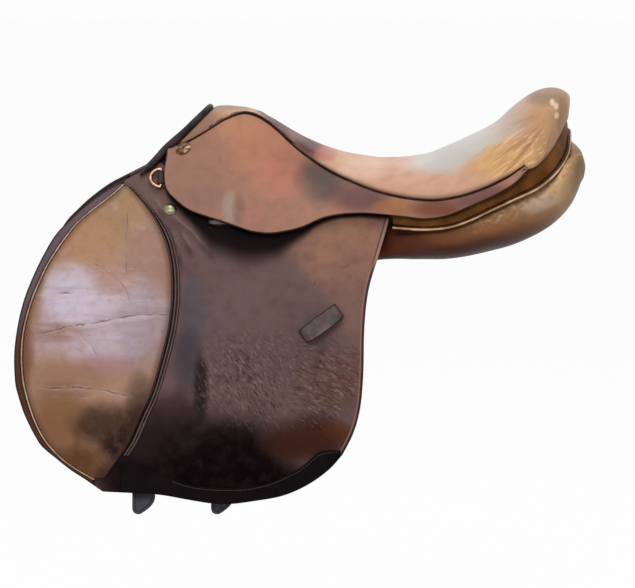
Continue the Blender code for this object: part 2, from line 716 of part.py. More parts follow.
def flap_hinge(side):
    """A point on the line about which the flap lifts."""
    z = FLAP_HINGE_HEIGHT
    return on_side(side, ((FLAP_FRONT[0][0] + FLAP_REAR[0][0]) / 2, flap_half_width(z) + FLAP_HINGE_STAND, z))


def make_flap(side, word):
    """Flap, cut on its hinge line into the head sewn to the tree and the part that lifts."""
    hinge = flap_hinge(side)
    outward = Vector((0, side, 0))
    for name, towards in ((word + "_flap_head", Vector((0, 0, -1))), (word + "_flap", Vector((0, 0, 1)))):
        bm = sheet_mesh(*FLAP_GRID, lay_on(side, flap_plan(), 0.0), outward)
        keep_side(bm, hinge - towards * HINGE_GAP / 2, towards)
        obj = add_object(name, mesh_from(bm, name), leather("flap"))
        add_thickness(obj, FLAP_LEATHER)
        if name.endswith("head"):
            cut_bar_window(obj, side, word)


def cut_bar_window(obj, side, word):
    """Open the flap head where the stirrup bar passes through it."""
    front, rear = BAR_FRONT - WINDOW_AHEAD, BAR_REAR + WINDOW_BEHIND
    low, high = FLAP_HINGE_HEIGHT - 2 * FLAP_LEATHER, BAR_HEIGHT + WINDOW_ABOVE
    centre = ((front + rear) / 2, side * bar_half_width(), (high + low) / 2)
    bm = bmesh.new()
    bmesh.ops.create_cube(bm, size=1.0)
    bmesh.ops.scale(bm, verts=bm.verts[:], vec=(rear - front, WINDOW_DEPTH, high - low))
    bmesh.ops.translate(bm, verts=bm.verts[:], vec=centre)
    mesh = bpy.data.meshes.new(word + "_bar_window")
    bm.to_mesh(mesh)
    bm.free()
    cutter = bpy.data.objects.new(word + "_bar_window", mesh)
    cutter.hide_render = True
    cutter.display_type = "WIRE"
    bpy.data.collections["cutters"].objects.link(cutter)
    cut = obj.modifiers.new("bar window", "BOOLEAN")
    cut.object = cutter
    cut.operation = "DIFFERENCE"


def pad_rung(z):
    """Front and rear of the knee pad at a height, in side view."""
    return Route(PAD_FRONT).cross(2, z).x, Route(PAD_REAR).cross(2, z).x


def make_knee_facing(side, word):
    """Flat top of the knee pad, above the flap's hinge line."""
    low = FLAP_HINGE_HEIGHT + HINGE_GAP / 2
    high = PAD_FRONT[0][1] - 0.003

    def plan(u, v):
        z = low + (high - low) * v
        front, rear = pad_rung(z)
        return Vector((front + (rear - front) * u, 0.0, z))

    sheet(word + "_knee_facing", 4, 6, lay_on(side, plan, -(PATCH_LEATHER + TOUCH)), Vector((0, side, 0)),
          PATCH_LEATHER, leather("pad"))


def make_knee_pad(side, word):
    """Stuffed knee pad on the front of the flap, full in the middle and flat at its edges."""
    high = FLAP_HINGE_HEIGHT - HINGE_GAP / 2 - PATCH_LEATHER / 2
    low = PAD_FRONT[-1][1] + 0.002
    rings = []
    for step in range(PAD_ROWS + 1):
        v = step / PAD_ROWS
        z = high + (low - high) * v
        front, rear = pad_rung(z)
        swell = PAD_CROWN * min(1.0, math.sin(math.pi * v) * PAD_FULLNESS)
        ring = []
        for index in range(PAD_COLUMNS + 1):
            u = index / PAD_COLUMNS
            rise = PAD_EDGE + swell * (1 - abs(2 * u - 1) ** 3)
            ring.append(on_side(side, (front + (rear - front) * u, layer(z, -(rise + TOUCH)), z)))
        for u in PAD_BASE_SHARES:
            ring.append(on_side(side, (front + (rear - front) * u, layer(z, -TOUCH), z)))
        rings.append(ring)
    loft(word + "_knee_pad", rings, leather("pad"))


def make_flap_welt(side, word):
    """Twice-stitched strip that closes the flap's front edge over the knee pad."""
    high = FLAP_HINGE_HEIGHT - HINGE_GAP / 2

    def plan(u, v):
        z = WELT_STRIP_LOW + (high - WELT_STRIP_LOW) * v
        return Vector((pad_rung(z)[1] + 3 * TOUCH + WELT_STRIP_WIDTH * u, 0.0, z))

    sheet(word + "_flap_welt", 1, 12, lay_on(side, plan, -(PATCH_LEATHER + TOUCH)), Vector((0, side, 0)),
          PATCH_LEATHER, leather("edge"))


def make_flap_hem(side, word):
    """Crescent of leather that reinforces the flap's lower edge."""
    arc = Route(HEM_ARC)
    bottom = Route(FLAP_BOTTOM)
    front, rear = HEM_ARC[0][0], HEM_ARC[-1][0] - HEM_REAR_MARGIN

    def plan(u, v):
        x = front + (rear - front) * u
        return bottom.cross(0, x).lerp(arc.cross(0, x), v)

    sheet(word + "_flap_hem", 14, 1, lay_on(side, plan, -(PATCH_LEATHER + TOUCH)), Vector((0, side, 0)),
          PATCH_LEATHER, leather("edge"))


def make_keeper(side, word):
    """Loop on the flap that holds the end of the stirrup leather."""
    x0, z0 = KEEPER_CENTRE
    run = Vector((math.cos(KEEPER_TILT), 0.0, math.sin(KEEPER_TILT)))
    over = Vector((-math.sin(KEEPER_TILT), 0.0, math.cos(KEEPER_TILT)))
    foot = KEEPER_LEATHER + TOUCH

    def place(u, v):
        along = (u - 0.5) * KEEPER_LENGTH
        spot = Vector((x0, 0.0, z0)) + run * along + over * (v - 0.5) * KEEPER_WIDTH
        lift = min(1.0, (KEEPER_LENGTH / 2 - abs(along)) / KEEPER_RAMP)
        rise = foot + KEEPER_GAP * (lift * lift * (3 - 2 * lift))
        return on_side(side, (spot.x, layer(spot.z, -rise), spot.z))

    sheet(word + "_keeper", 12, 1, place, Vector((0, side, 0)), KEEPER_LEATHER, leather("flap"))


def make_sweat_flap(side, word):
    """Under flap that lies against the horse, sewn to the panel."""
    front_line = [(x + SWEAT_FLAP_INSET, z) for x, z in FLAP_FRONT[:-1] if z < SWEAT_FLAP_TOP[0][1]]
    rear_line = [(x - SWEAT_FLAP_INSET, z) for x, z in FLAP_REAR[2:-1]]
    bottom_line = [(x, z + SWEAT_FLAP_INSET) for x, z in FLAP_BOTTOM[1:-1]]
    top = Route(SWEAT_FLAP_TOP)
    front = Route([SWEAT_FLAP_TOP[0]] + front_line + [SWEAT_FLAP_FRONT_LOW])
    rear = Route([SWEAT_FLAP_TOP[-1]] + rear_line + [SWEAT_FLAP_REAR_LOW])
    bottom = Route([SWEAT_FLAP_FRONT_LOW] + bottom_line + [SWEAT_FLAP_REAR_LOW])
    sheet(word + "_sweat_flap", 9, 8, lay_on(side, coons(front, rear, top, bottom), SWEAT_FLAP_DEPTH),
          Vector((0, side, 0)), SWEAT_FLAP_LEATHER, leather("panel"))


def make_point_pocket(side, word):
    """Pocket over the end of the tree's point."""

    def plan(u, v):
        return Vector((POCKET_FRONT_LOW[0] + POCKET_LENGTH * u, 0.0, POCKET_FRONT_LOW[1] + POCKET_HEIGHT * v))

    sheet(word + "_point_pocket", 3, 3, lay_on(side, plan, POCKET_DEPTH), Vector((0, side, 0)),
          POCKET_LEATHER, leather("flap"))


# Panels

def panel_stations():
    """The panel's sections, smoothed along the saddle from the ones that are given."""
    flat = [(x, *top, *middle, *bottom, thick) for x, top, middle, bottom, thick in PANEL_STATIONS]
    ends = [flat[0]] + flat + [flat[-1]]
    for step in range(PANEL_RINGS):
        spot = step / (PANEL_RINGS - 1) * (len(flat) - 1)
        low = min(int(spot), len(flat) - 2)
        corners = [Vector(ends[low + index]) for index in range(4)]
        x, *rest, thick = Route.blend(*corners, spot - low)
        yield x, rest[0:2], rest[2:4], rest[4:6], thick


def panel_ring(side, station):
    """Closed section of the panel: a curved middle line with thickness swelling along it."""
    x, top, middle, bottom, half_thick = station
    line = [Vector((0.0, *point)) for point in (top, middle, bottom)]
    outer, inner = [], []
    for index in range(PANEL_RING + 1):
        t = index / PANEL_RING
        centre = line[0] * (1 - t) ** 2 + line[1] * 2 * t * (1 - t) + line[2] * t ** 2
        along = (line[1] - line[0]) * (1 - t) + (line[2] - line[1]) * t
        square = Vector((0.0, -along.z, along.y)).normalized()
        swell = half_thick * math.sqrt(max(1 - abs(2 * t - 1) ** PANEL_SQUARENESS, 0.0))
        outer.append(centre + square * swell)
        if 0 < index < PANEL_RING:
            inner.append(centre - square * swell)
    return [on_side(side, (x, point.y, point.z)) for point in outer + inner[::-1]]


def make_panel(side, word):
    """Stuffed panel that rests on the horse's back and runs forward beside the withers."""
    loft(word + "_panel", [panel_ring(side, station) for station in panel_stations()], leather("panel"))


# Tree

def mirrored_line(points):
    """A line from the near side over the middle to the off side; the first point is the middle one."""
    near = [on_side(NEAR, point) for point in reversed(points[1:])]
    return near + [on_side(OFF, point) for point in points]


def offset_arch(points, distance):
    """Move the head's arch outwards, away from the gullet, by a distance."""
    moved = []
    for index, point in enumerate(points):
        before, after = points[max(index - 1, 0)], points[min(index + 1, len(points) - 1)]
        along = Vector((0.0, after[1] - before[1], after[2] - before[2])).normalized()
        out = Vector((0.0, -along.z, along.y)) if index else Vector((0.0, 0.0, 1.0))
        moved.append(Vector(point) + out * distance)
    return moved


def make_tree():
    """Wooden head and rails, steel plates and springs, cantle board and webbing."""
    fore = Vector((1, 0, 0))
    arch = [Vector(point) for point in HEAD_ARCH]
    arch += [Vector((x, flap_half_width(z) - inset, z)) for x, inset, z in HEAD_POINTS]
    strip("tree_head", mirrored_line(arch), fore, HEAD_LENGTH / 2, HEAD_THICKNESS / 2, wood())
    stand = HEAD_THICKNESS / 2 + TOUCH + PLATE_THICKNESS / 2
    strip("head_plate", mirrored_line(offset_arch(arch[:-1], stand)), fore,
          HEAD_LENGTH * 0.40, PLATE_THICKNESS / 2, steel())
    strip("gullet_plate", mirrored_line(offset_arch(arch[:-1], -stand)), fore,
          HEAD_LENGTH * 0.40, PLATE_THICKNESS / 2, steel())
    strip("seat_web", Route(SEAT_WEB_LINE).points(12), Vector((0, 1, 0)), SEAT_WEB_WIDTH / 2,
          WEB_THICKNESS / 2, webbing())
    make_cantle_board()
    for name, (leans, crossing, shoulder) in GIRTH_WEBS.items():
        make_girth_web(name, leans, crossing, shoulder)


def make_girth_web(name, leans, crossing, shoulder):
    """Webbing over the rails that carries the billets on both sides."""
    heights = (BILLET_TOP + 2 * WEB_CLEARANCE, *GIRTH_WEB_LEVELS, shoulder)
    depths = (GIRTH_WEB_DEPTH, GIRTH_WEB_DEPTH, GIRTH_WEB_UPPER_DEPTH, GIRTH_WEB_UPPER_DEPTH)
    low = [Vector((x, layer(z, depth), z)) for x, z, depth in zip(leans, heights, depths)]
    over = [Vector(crossing), Vector((crossing[0], crossing[1] - GIRTH_WEB_LAP, crossing[2]))]
    middle = Vector((crossing[0], 0.0, crossing[2]))
    line = mirrored_line([middle] + over[::-1] + low[::-1])
    strip(name, line, Vector((1, 0, 0)), GIRTH_WEB_WIDTH / 2, WEB_THICKNESS / 2, webbing())


def make_cantle_board():
    """Curved board that carries the back of the seat."""
    centres = []
    half_heights = []
    for step in range(CANTLE_BOARD_STEPS + 1):
        t = 2 * step / CANTLE_BOARD_STEPS - 1
        low = CANTLE_BOARD_LOW - CANTLE_BOARD_LOW_FALL * t * t
        high = CANTLE_BOARD_HIGH - CANTLE_BOARD_HIGH_FALL * t * t
        back = CANTLE_BOARD_BACK - CANTLE_BOARD_SWEEP * t * t
        centres.append(Vector((back, CANTLE_BOARD_HALF_WIDTH * t, (low + high) / 2)))
        half_heights.append((high - low) / 2)
    strip("cantle_board", centres, Vector((0, 0, 1)), half_heights, CANTLE_BOARD_THICKNESS / 2, wood())


def make_rail(side, word):
    """Side rail of the tree with its spring steel below."""
    across = Vector((0, 1, 0))
    line = [on_side(side, point) for point in Route(RAIL_LINE).points(12)]
    strip(word + "_tree_rail", line, across, RAIL_WIDTH / 2, RAIL_THICKNESS / 2, wood())
    drop = Vector((0, 0, -(RAIL_THICKNESS / 2 + SPRING_THICKNESS / 2 + 2 * TOUCH)))
    strip(word + "_spring_steel", [point + drop for point in line], across, SPRING_WIDTH / 2,
          SPRING_THICKNESS / 2, steel())


# Stirrup bar

def bar_half_width():
    """Half width of the bar's axis: the bar lies in the flap's outer face."""
    return flap_half_width(BAR_HEIGHT)


def make_stirrup_bar(side, word):
    """Forged stirrup bar: a plate on the tree, a shoulder in front, and the bar open to the rear."""
    name = word + "_stirrup_bar"

    front, rear = BAR_FRONT - BAR_PLATE_AHEAD, BAR_REAR + BAR_PLATE_BEHIND
    low, high = BAR_HEIGHT - BAR_PLATE_BELOW, BAR_HEIGHT + BAR_PLATE_ABOVE

    def plan(u, v):
        return Vector((front + (rear - front) * u, 0.0, low + (high - low) * v))

    plate = sheet(name, 1, 2, lay_on(side, plan, BAR_PLATE_DEPTH), Vector((0, side, 0)),
                  BAR_PLATE_THICKNESS, steel())
    width = bar_half_width()
    root = layer(BAR_HEIGHT, BAR_PLATE_DEPTH + BAR_PLATE_THICKNESS / 2)
    path = [(BAR_FRONT, root, BAR_HEIGHT + BAR_ROOT_RISE)]
    path += [(BAR_FRONT + along, width + out, BAR_HEIGHT + up) for along, out, up in BAR_SHOULDER]
    path += [(BAR_REAR + along, width + out, BAR_HEIGHT + up) for along, out, up in BAR_HOOK]
    rod = tube(word + "_rod", [on_side(side, point) for point in path], BAR_RADIUS, steel())
    join_tube(plate, rod, word + "_bar_rod")


def join_tube(target, rod, name):
    """Union a tube with a solid: the tube becomes a closed mesh first."""
    bpy.context.view_layer.update()
    graph = bpy.context.evaluated_depsgraph_get()
    mesh = bpy.data.meshes.new_from_object(rod.evaluated_get(graph))
    bm = bmesh.new()
    bm.from_mesh(mesh)
    bmesh.ops.remove_doubles(bm, verts=bm.verts[:], dist=1e-6)
    bmesh.ops.recalc_face_normals(bm, faces=bm.faces[:])
    bm.to_mesh(mesh)
    bm.free()
    part = bpy.data.objects.new(name, mesh)
    part.matrix_world = rod.matrix_world.copy()
    part.hide_render = True
    part.display_type = "WIRE"
    bpy.data.collections["cutters"].objects.link(part)
    bpy.data.objects.remove(rod, do_unlink=True)
    union = target.modifiers.new("rod", "BOOLEAN")
    union.object = part
    union.operation = "UNION"


def make_bar_catch(side, word):
    """Thumb catch behind the bar: a pin with a tongue that turns up to close the slot."""
    high = bar_half_width() - CATCH_INSIDE_BAR
    low = high - CATCH_THICKNESS
    pin = BAR_REAR + CATCH_BEHIND_BAR
    r = CATCH_PIN_RADIUS
    turns = [math.radians(angle) for angle in range(90, 271, 30)]
    outline = [(math.cos(turn) * r, math.sin(turn) * r) for turn in turns]
    outline += [(CATCH_LENGTH, -r), (CATCH_LENGTH + r / 2, 0.0), (CATCH_LENGTH, r / 2)]
    rings = [[on_side(side, (pin + x, width, BAR_HEIGHT + z)) for x, z in outline] for width in (low, high)]
    loft(word + "_bar_catch", rings, steel())


# Small fittings

def make_dee(side, word):
    """Dee ring, lying forward on the flap with its straight side on the joint's axis."""
    normal = flap_normal(side, DEE_HEIGHT)
    up = normal.cross(Vector((1, 0, 0)))
    up = -up if up.z < 0 else up
    stand = DEE_STAND + DEE_WIRE_RADIUS
    centre = on_side(side, (DEE_BAR_X, flap_half_width(DEE_HEIGHT), DEE_HEIGHT)) + normal * stand
    points = []
    for step in range(DEE_STEPS + 1):
        angle = math.radians(90 + 180 * step / DEE_STEPS)
        forward = Vector((DEE_REACH * math.cos(angle), 0.0, 0.0))
        points.append(centre + up * DEE_HALF_HEIGHT * math.sin(angle) + forward)
    tube(word + "_dee", points, DEE_WIRE_RADIUS, brass(), closed=True)


def make_dee_chape(side, word):
    """Leather tab that carries the dee ring, tucked under the skirt's front edge."""

    def plan(u, v):
        return Vector((DEE_BAR_X + DEE_WIRE_RADIUS + TOUCH + CHAPE_LENGTH * u, 0.0,
                       DEE_HEIGHT + CHAPE_HALF_HEIGHT * (2 * v - 1)))

    place = lay_on(side, plan, -(CHAPE_LEATHER + CHAPE_CLEARANCE))
    sheet(word + "_dee_chape", 1, 3, place, Vector((0, side, 0)), CHAPE_LEATHER, leather("flap"))


def make_badge_stud(side, word):
    """Plain round stud on the front of the skirt."""
    place = skirt_place(side)
    u, v = BADGE_SHARES
    here = place(u, v)
    along = place(u + 0.01, v) - here
    up = place(u, v + 0.05) - here
    normal = along.cross(up).normalized()
    normal = -normal if normal.y * side < 0 else normal
    dome(word + "_badge_stud", here + normal * 5 * TOUCH, normal, BADGE_RADIUS, BADGE_RISE, brass())


def make_flap_nail(side, word):
    """Domed brass nail that holds the flap to the tree's point."""
    x, z = NAIL_PLACE
    normal = flap_normal(side, z)
    place = on_side(side, (x, flap_half_width(z), z)) + normal * 2 * TOUCH
    dome(word + "_flap_nail", place, normal, NAIL_RADIUS, NAIL_RISE, brass())


# Billets

def make_billets(side, word):
    """Three girth straps, the middle one in a layer of its own."""
    for which, (x0, depth, tip) in BILLET_PLACES.items():

        def plan(u, v, x0=x0, tip=tip):
            shoulder = tip + BILLET_POINT
            rows = [(BILLET_TOP + (shoulder - BILLET_TOP) * step / BILLET_ROWS, 1.0)
                    for step in range(BILLET_ROWS + 1)]
            rows += [(tip + BILLET_POINT * rise, narrow) for rise, narrow in BILLET_POINT_ROWS]
            z, narrow = rows[round((1 - v) * (len(rows) - 1))]
            return Vector((x0 + (u - 0.5) * BILLET_WIDTH * narrow, 0.0, z))

        rows = BILLET_ROWS + len(BILLET_POINT_ROWS)
        sheet(f"{word}_{which}_billet", 2, rows, lay_on(side, plan, depth), Vector((0, side, 0)),
              BILLET_LEATHER, leather("flap"))


def build():
    clear_scene()
    for name in ("saddle", "cutters"):
        if name not in bpy.data.collections:
            bpy.context.scene.collection.children.link(bpy.data.collections.new(name))
    make_tree()
    both_sides(make_rail)
    make_seat()
    both_sides(make_seat_welt)
    make_pommel_facing()
    make_cantle_facing()
    make_panel_welt()
    for maker in (make_skirt, make_flap, make_knee_facing, make_knee_pad, make_flap_welt, make_flap_hem,
                  make_keeper, make_sweat_flap, make_point_pocket, make_panel, make_stirrup_bar,
                  make_bar_catch, make_dee, make_dee_chape, make_badge_stud, make_flap_nail, make_billets):
        both_sides(maker)


build()
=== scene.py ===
"""Dress the jumping saddle in worn leather, brass and steel, and set up the photograph's view.

Metres. The near (left) side is -Y, the cantle is at +X and +Z is up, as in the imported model.
"""

import bisect
import json
import math

import bmesh
import bpy
from mathutils import Matrix, Vector, kdtree, noise
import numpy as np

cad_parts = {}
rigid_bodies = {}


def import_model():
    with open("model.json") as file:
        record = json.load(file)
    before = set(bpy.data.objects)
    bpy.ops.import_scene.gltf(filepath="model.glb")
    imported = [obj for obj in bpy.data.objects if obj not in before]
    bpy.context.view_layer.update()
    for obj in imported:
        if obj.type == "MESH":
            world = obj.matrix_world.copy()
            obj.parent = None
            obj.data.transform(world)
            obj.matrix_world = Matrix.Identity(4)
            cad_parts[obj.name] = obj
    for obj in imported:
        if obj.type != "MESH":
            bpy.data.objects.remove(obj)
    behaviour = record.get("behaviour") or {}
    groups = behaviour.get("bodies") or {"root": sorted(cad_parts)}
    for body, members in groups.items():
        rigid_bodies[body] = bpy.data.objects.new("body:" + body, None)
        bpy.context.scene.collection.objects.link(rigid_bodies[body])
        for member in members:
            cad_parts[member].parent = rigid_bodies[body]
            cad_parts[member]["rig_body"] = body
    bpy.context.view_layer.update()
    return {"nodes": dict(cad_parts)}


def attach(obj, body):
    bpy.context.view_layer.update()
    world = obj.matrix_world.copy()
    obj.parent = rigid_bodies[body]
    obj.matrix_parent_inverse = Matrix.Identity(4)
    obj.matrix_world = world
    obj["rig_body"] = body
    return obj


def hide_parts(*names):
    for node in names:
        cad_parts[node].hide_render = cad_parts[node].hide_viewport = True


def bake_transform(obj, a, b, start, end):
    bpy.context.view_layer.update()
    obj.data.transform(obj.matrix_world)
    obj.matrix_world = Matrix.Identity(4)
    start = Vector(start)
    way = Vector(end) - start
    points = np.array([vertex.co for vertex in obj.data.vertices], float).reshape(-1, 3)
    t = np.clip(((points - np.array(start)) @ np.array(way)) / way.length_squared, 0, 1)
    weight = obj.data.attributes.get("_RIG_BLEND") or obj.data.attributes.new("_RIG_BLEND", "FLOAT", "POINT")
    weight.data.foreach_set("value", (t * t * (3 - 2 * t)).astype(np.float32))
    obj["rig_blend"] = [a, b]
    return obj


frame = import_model()
nodes = frame["nodes"]

NEAR = -1
OFF = 1
SIDE_NAMES = {NEAR: "near", OFF: "off"}

# Flap surface: how far its outer face stands from the middle, at each height
FLAP_FULL_REACH = 0.192
FLAP_DRAW_IN = 0.126
FLAP_KNEE_HEIGHT = 0.100
FLAP_CURVE = 0.167

# Leather and piping
FLAP_LEATHER = 0.0040
SKIRT_LEATHER = 0.0035
SEAT_LEATHER = 0.0026
FACING_LEATHER = 0.0030
SWEAT_FLAP_LEATHER = 0.0030
PATCH_LEATHER = 0.0019
STRIP_LEATHER = 0.0008
KEEPER_LEATHER = 0.0028
BILLET_LEATHER = 0.0032
SEAT_PIPE_RADIUS = 0.0008
PANEL_PIPE_RADIUS = 0.0025
PANEL_BEAD_RADIUS = 0.0013
PANEL_BEAD_STAND = 0.0022
FACING_PIPE_RADIUS = 0.0034
PAD_PIPE_RADIUS = 0.0009
TOUCH = 0.0003

# Rounding of the leathers' cut edges
CUT_EDGE = 0.0009
FLAP_CUT_EDGE = 0.0012
SKIRT_CUT_EDGE = 0.0010
FACING_CUT_EDGE = 0.0008
HEM_CUT_EDGE = 0.0007
STRIP_CUT_EDGE = 0.0003
FOAM_CUT_EDGE = 0.003

# Steps of each sheet's grid, along it and across it
SEAT_GRID = (220, 96)
FOAM_GRID = (70, 40)
FACING_GRID = (260, 14)
SKIRT_GRID = (190, 46)
FLAP_GRID = (200, 176)
PAD_GRID = (100, 210)
STRIP_GRID = (20, 150)
HEM_GRID = (110, 14)
KEEPER_GRID = (64, 18)
SWEAT_FLAP_GRID = (70, 60)
PANEL_GRID = (230, 90)
BILLET_GRID = (16, 190)

# Steps round a turned piece
TURNED_STEPS = 40

# Depth of each layer below the flap's outer face
OUTER_BILLET_DEPTH = 0.008
MIDDLE_BILLET_DEPTH = 0.013
SWEAT_FLAP_DEPTH = 0.0190

# Bends of the flap and the skirt
FLAP_HINGE_HEIGHT = 0.032
FLAP_BEND = 0.013
SKIRT_HINGE_FRONT = (-0.262, 0.100)
SKIRT_HINGE_REAR = (-0.062, 0.057)
SKIRT_BEND = 0.010
SKIRT_STAND = 0.0115
SKIRT_DROP = 0.0017
SKIRT_OUTSET = 0.0026

# Bulge of the skirt over the stirrup bar and the dent behind it: middle (x, z) and reach along x and z
SKIRT_BULGE = (-0.178, 0.058, 0.030, 0.020)
SKIRT_DENT = (-0.088, 0.088, 0.022, 0.026)

# Opening in the flap for the stirrup bar (x, z)
WINDOW_LOW = (-0.2125, 0.0405)
WINDOW_HIGH = (-0.140, 0.062)

# Seat: seam on one side (x, half width, z) beside the middle line above it (x, z)
SEAT_HOOPS = (
    ((-0.2495, 0.0460, 0.1300), (-0.2090, 0.1695)),
    ((-0.2440, 0.0480, 0.1315), (-0.2030, 0.1705)),
    ((-0.2350, 0.0500, 0.1345), (-0.1960, 0.1710)),
    ((-0.212, 0.052, 0.148), (-0.188, 0.1705)),
    ((-0.194, 0.049, 0.159), (-0.181, 0.1695)),
    ((-0.172, 0.044, 0.165), (-0.169, 0.1675)),
    ((-0.147, 0.047, 0.154), (-0.147, 0.1582)),
    ((-0.110, 0.058, 0.122), (-0.110, 0.1370)),
    ((-0.071, 0.072, 0.098), (-0.071, 0.1210)),
    ((-0.024, 0.095, 0.080), (-0.024, 0.1125)),
    ((0.024, 0.118, 0.073), (0.024, 0.1150)),
    ((0.058, 0.134, 0.077), (0.055, 0.1260)),
    ((0.087, 0.146, 0.087), (0.082, 0.1380)),
    ((0.112, 0.150, 0.099), (0.107, 0.1510)),
    ((0.132, 0.149, 0.106), (0.127, 0.1690)),
    ((0.146, 0.143, 0.110), (0.146, 0.1830)),
    ((0.160, 0.125, 0.121), (0.163, 0.1900)),
    ((0.172, 0.090, 0.135), (0.178, 0.1895)),
    ((0.182, 0.045, 0.149), (0.1885, 0.1830)),
    ((0.1862, 0.020, 0.1530), (0.1898, 0.1740)),
    ((0.1868, 0.004, 0.1545), (0.1885, 0.1590)),
)
SEAT_ROUNDNESS = 2.3
SEAT_CROWN = 1.6
FOAM_FIRST_HOOP = 5
FOAM_LAST_HOOP = 17
FOAM_MARGIN = 0.22
FOAM_DEPTH = 0.0050
FOAM_THICKNESS = 0.010
FACING_LEGS = ((-0.2885, 0.0976), (-0.2757, 0.1080), (-0.2636, 0.1213))
SKIRT_TAIL_TOP = (0.1330, 0.1500, 0.1135)
SKIRT_FRONT_TOP = (-0.2590, 0.0480, 0.1300)
SKIRT_TIP_ROUND = 0.0035
SKIRT_TAIL_RUN = 0.02
SEAT_WELT = tuple(seam for seam, _ in SEAT_HOOPS if seam[0] < SKIRT_TAIL_TOP[0] - SKIRT_TAIL_RUN)
SEAT_WELT += (SKIRT_TAIL_TOP,)

# Lower edge of the skirt. In front, its width follows the flap; the tail has widths of its own
SKIRT_EDGE_FRONT = (
    (-0.261, 0.112), (-0.262, 0.096), (-0.259, 0.082), (-0.250, 0.072), (-0.235, 0.061),
    (-0.216, 0.054), (-0.200, 0.049), (-0.185, 0.044), (-0.166, 0.038), (-0.147, 0.036),
    (-0.129, 0.038), (-0.109, 0.043), (-0.081, 0.054), (-0.045, 0.057),
)
SKIRT_EDGE_TAIL = (
    (-0.002, 0.114, 0.054), (0.024, 0.125, 0.052), (0.048, 0.136, 0.056), (0.071, 0.146, 0.066),
    (0.104, 0.157, 0.082), (0.1215, 0.157, 0.0930), (0.1330, 0.155, 0.1040),
)

# Flap outline in side view (x, z)
FLAP_FRONT = (
    (-0.2605, 0.1175), (-0.2770, 0.1063), (-0.2907, 0.0991), (-0.3079, 0.0900), (-0.3300, 0.0781),
    (-0.3522, 0.0615), (-0.3661, 0.0486), (-0.3802, 0.0340), (-0.3910, 0.0166), (-0.4030, -0.0075),
    (-0.4138, -0.0350), (-0.4205, -0.0630), (-0.4240, -0.0940), (-0.4228, -0.1240), (-0.4192, -0.1392),
    (-0.4137, -0.1559), (-0.4068, -0.1710), (-0.4000, -0.1835), (-0.3930, -0.1937), (-0.3776, -0.2066),
    (-0.3623, -0.2187), (-0.3470, -0.2286), (-0.3268, -0.2425),
)
FLAP_TOP = (
    FLAP_FRONT[0], (-0.2500, 0.1080), (-0.225, 0.105), (-0.180, 0.105), (-0.140, 0.097),
    (-0.100, 0.082), (-0.060, 0.069), (-0.013, 0.058),
)
FLAP_REAR = (
    FLAP_TOP[-1], (-0.0155, 0.0450), (-0.0250, 0.0140), (-0.0350, -0.0170), (-0.0395, -0.0420),
    (-0.0418, -0.0710), (-0.0424, -0.1050), (-0.0437, -0.1300), (-0.0460, -0.1510), (-0.0503, -0.1695),
    (-0.0560, -0.1845), (-0.0655, -0.2025),
)
FLAP_BOTTOM = (
    FLAP_FRONT[-1], (-0.2960, -0.2440), (-0.2645, -0.2460), (-0.2344, -0.2512), (-0.2094, -0.2552),
    (-0.1894, -0.2560), (-0.1643, -0.2531), (-0.1310, -0.2470), (-0.1043, -0.2356), (-0.0809, -0.2191),
    FLAP_REAR[-1],
)
HEM_ARC = (
    (-0.3072, -0.2116), (-0.2900, -0.2140), (-0.2705, -0.2192), (-0.2552, -0.2265), (-0.2415, -0.2322),
    (-0.2247, -0.2365), (-0.1977, -0.2384), (-0.1710, -0.2379), (-0.1493, -0.2337), (-0.1343, -0.2279),
    (-0.1143, -0.2180), (-0.1043, -0.2105), (-0.0943, -0.2015), (-0.0843, -0.1975), (-0.0655, -0.1978),
)
HEM_REAR_MARGIN = 0.002
PAD_FRONT = (
    (-0.3060, 0.0865), (-0.3190, 0.0750), (-0.3303, 0.0665), (-0.3441, 0.0560), (-0.3578, 0.0438),
    (-0.3710, 0.0270), (-0.3809, 0.0125), (-0.3890, -0.0010), (-0.3958, -0.0157), (-0.4022, -0.0305),
    (-0.4068, -0.0445), (-0.4111, -0.0606), (-0.4140, -0.0780), (-0.4148, -0.0950), (-0.4142, -0.1090),
    (-0.4125, -0.1245), (-0.4090, -0.1389), (-0.4044, -0.1540), (-0.3985, -0.1691), (-0.3913, -0.1827),
    (-0.3821, -0.1948), (-0.3698, -0.2070), (-0.3560, -0.2170), (-0.3440, -0.2240), (-0.3350, -0.2290),
)
PAD_REAR = (
    (-0.305, 0.088), (-0.286, 0.069), (-0.271, 0.049), (-0.260, 0.027), (-0.254, 0.003),
    (-0.252, -0.022), (-0.253, -0.046), (-0.258, -0.078), (-0.273, -0.132), (-0.286, -0.162),
    (-0.298, -0.189), (-0.313, -0.211), (-0.326, -0.229),
)
PAD_CROWN = 0.013
PAD_EDGE = 0.0018
PAD_EDGE_REACH = 0.02
WELT_STRIP_WIDTH = 0.008
WELT_STRIP_LOW = -0.203
STRIP_RIDGES = (0.36, 0.80)
STRIP_RIDGE_WIDTH = 0.13
STRIP_RIDGE_HEIGHT = 0.0015
STRIP_BASE = 0.0006
STRIP_STITCHES = 92

# Stitches: how far they stand off the leather, and the length and thickness of the thread that shows
STITCH_STAND = 0.0001
STRIP_STITCH = (0.0026, 0.0006)
HEM_STITCH = (0.0026, 0.0007)
KEEPER_STITCH = (0.0018, 0.0007)

# Hem's stitches: their number, then as shares of the hem the start, length and height of their row
HEM_STITCHES = 66
HEM_STITCH_START = 0.24
HEM_STITCH_RUN = 0.74
HEM_STITCH_LINE = 0.86

# Keeper
KEEPER_CENTRE = (-0.089, -0.061)
KEEPER_LENGTH = 0.050
KEEPER_WIDTH = 0.017
KEEPER_GAP = 0.0078
KEEPER_RAMP = 0.0078
KEEPER_TILT = math.radians(36)
KEEPER_STITCH_ENDS = (0.035, 0.965)
KEEPER_STITCH_ROW = tuple(0.18 + 0.16 * step for step in range(5))

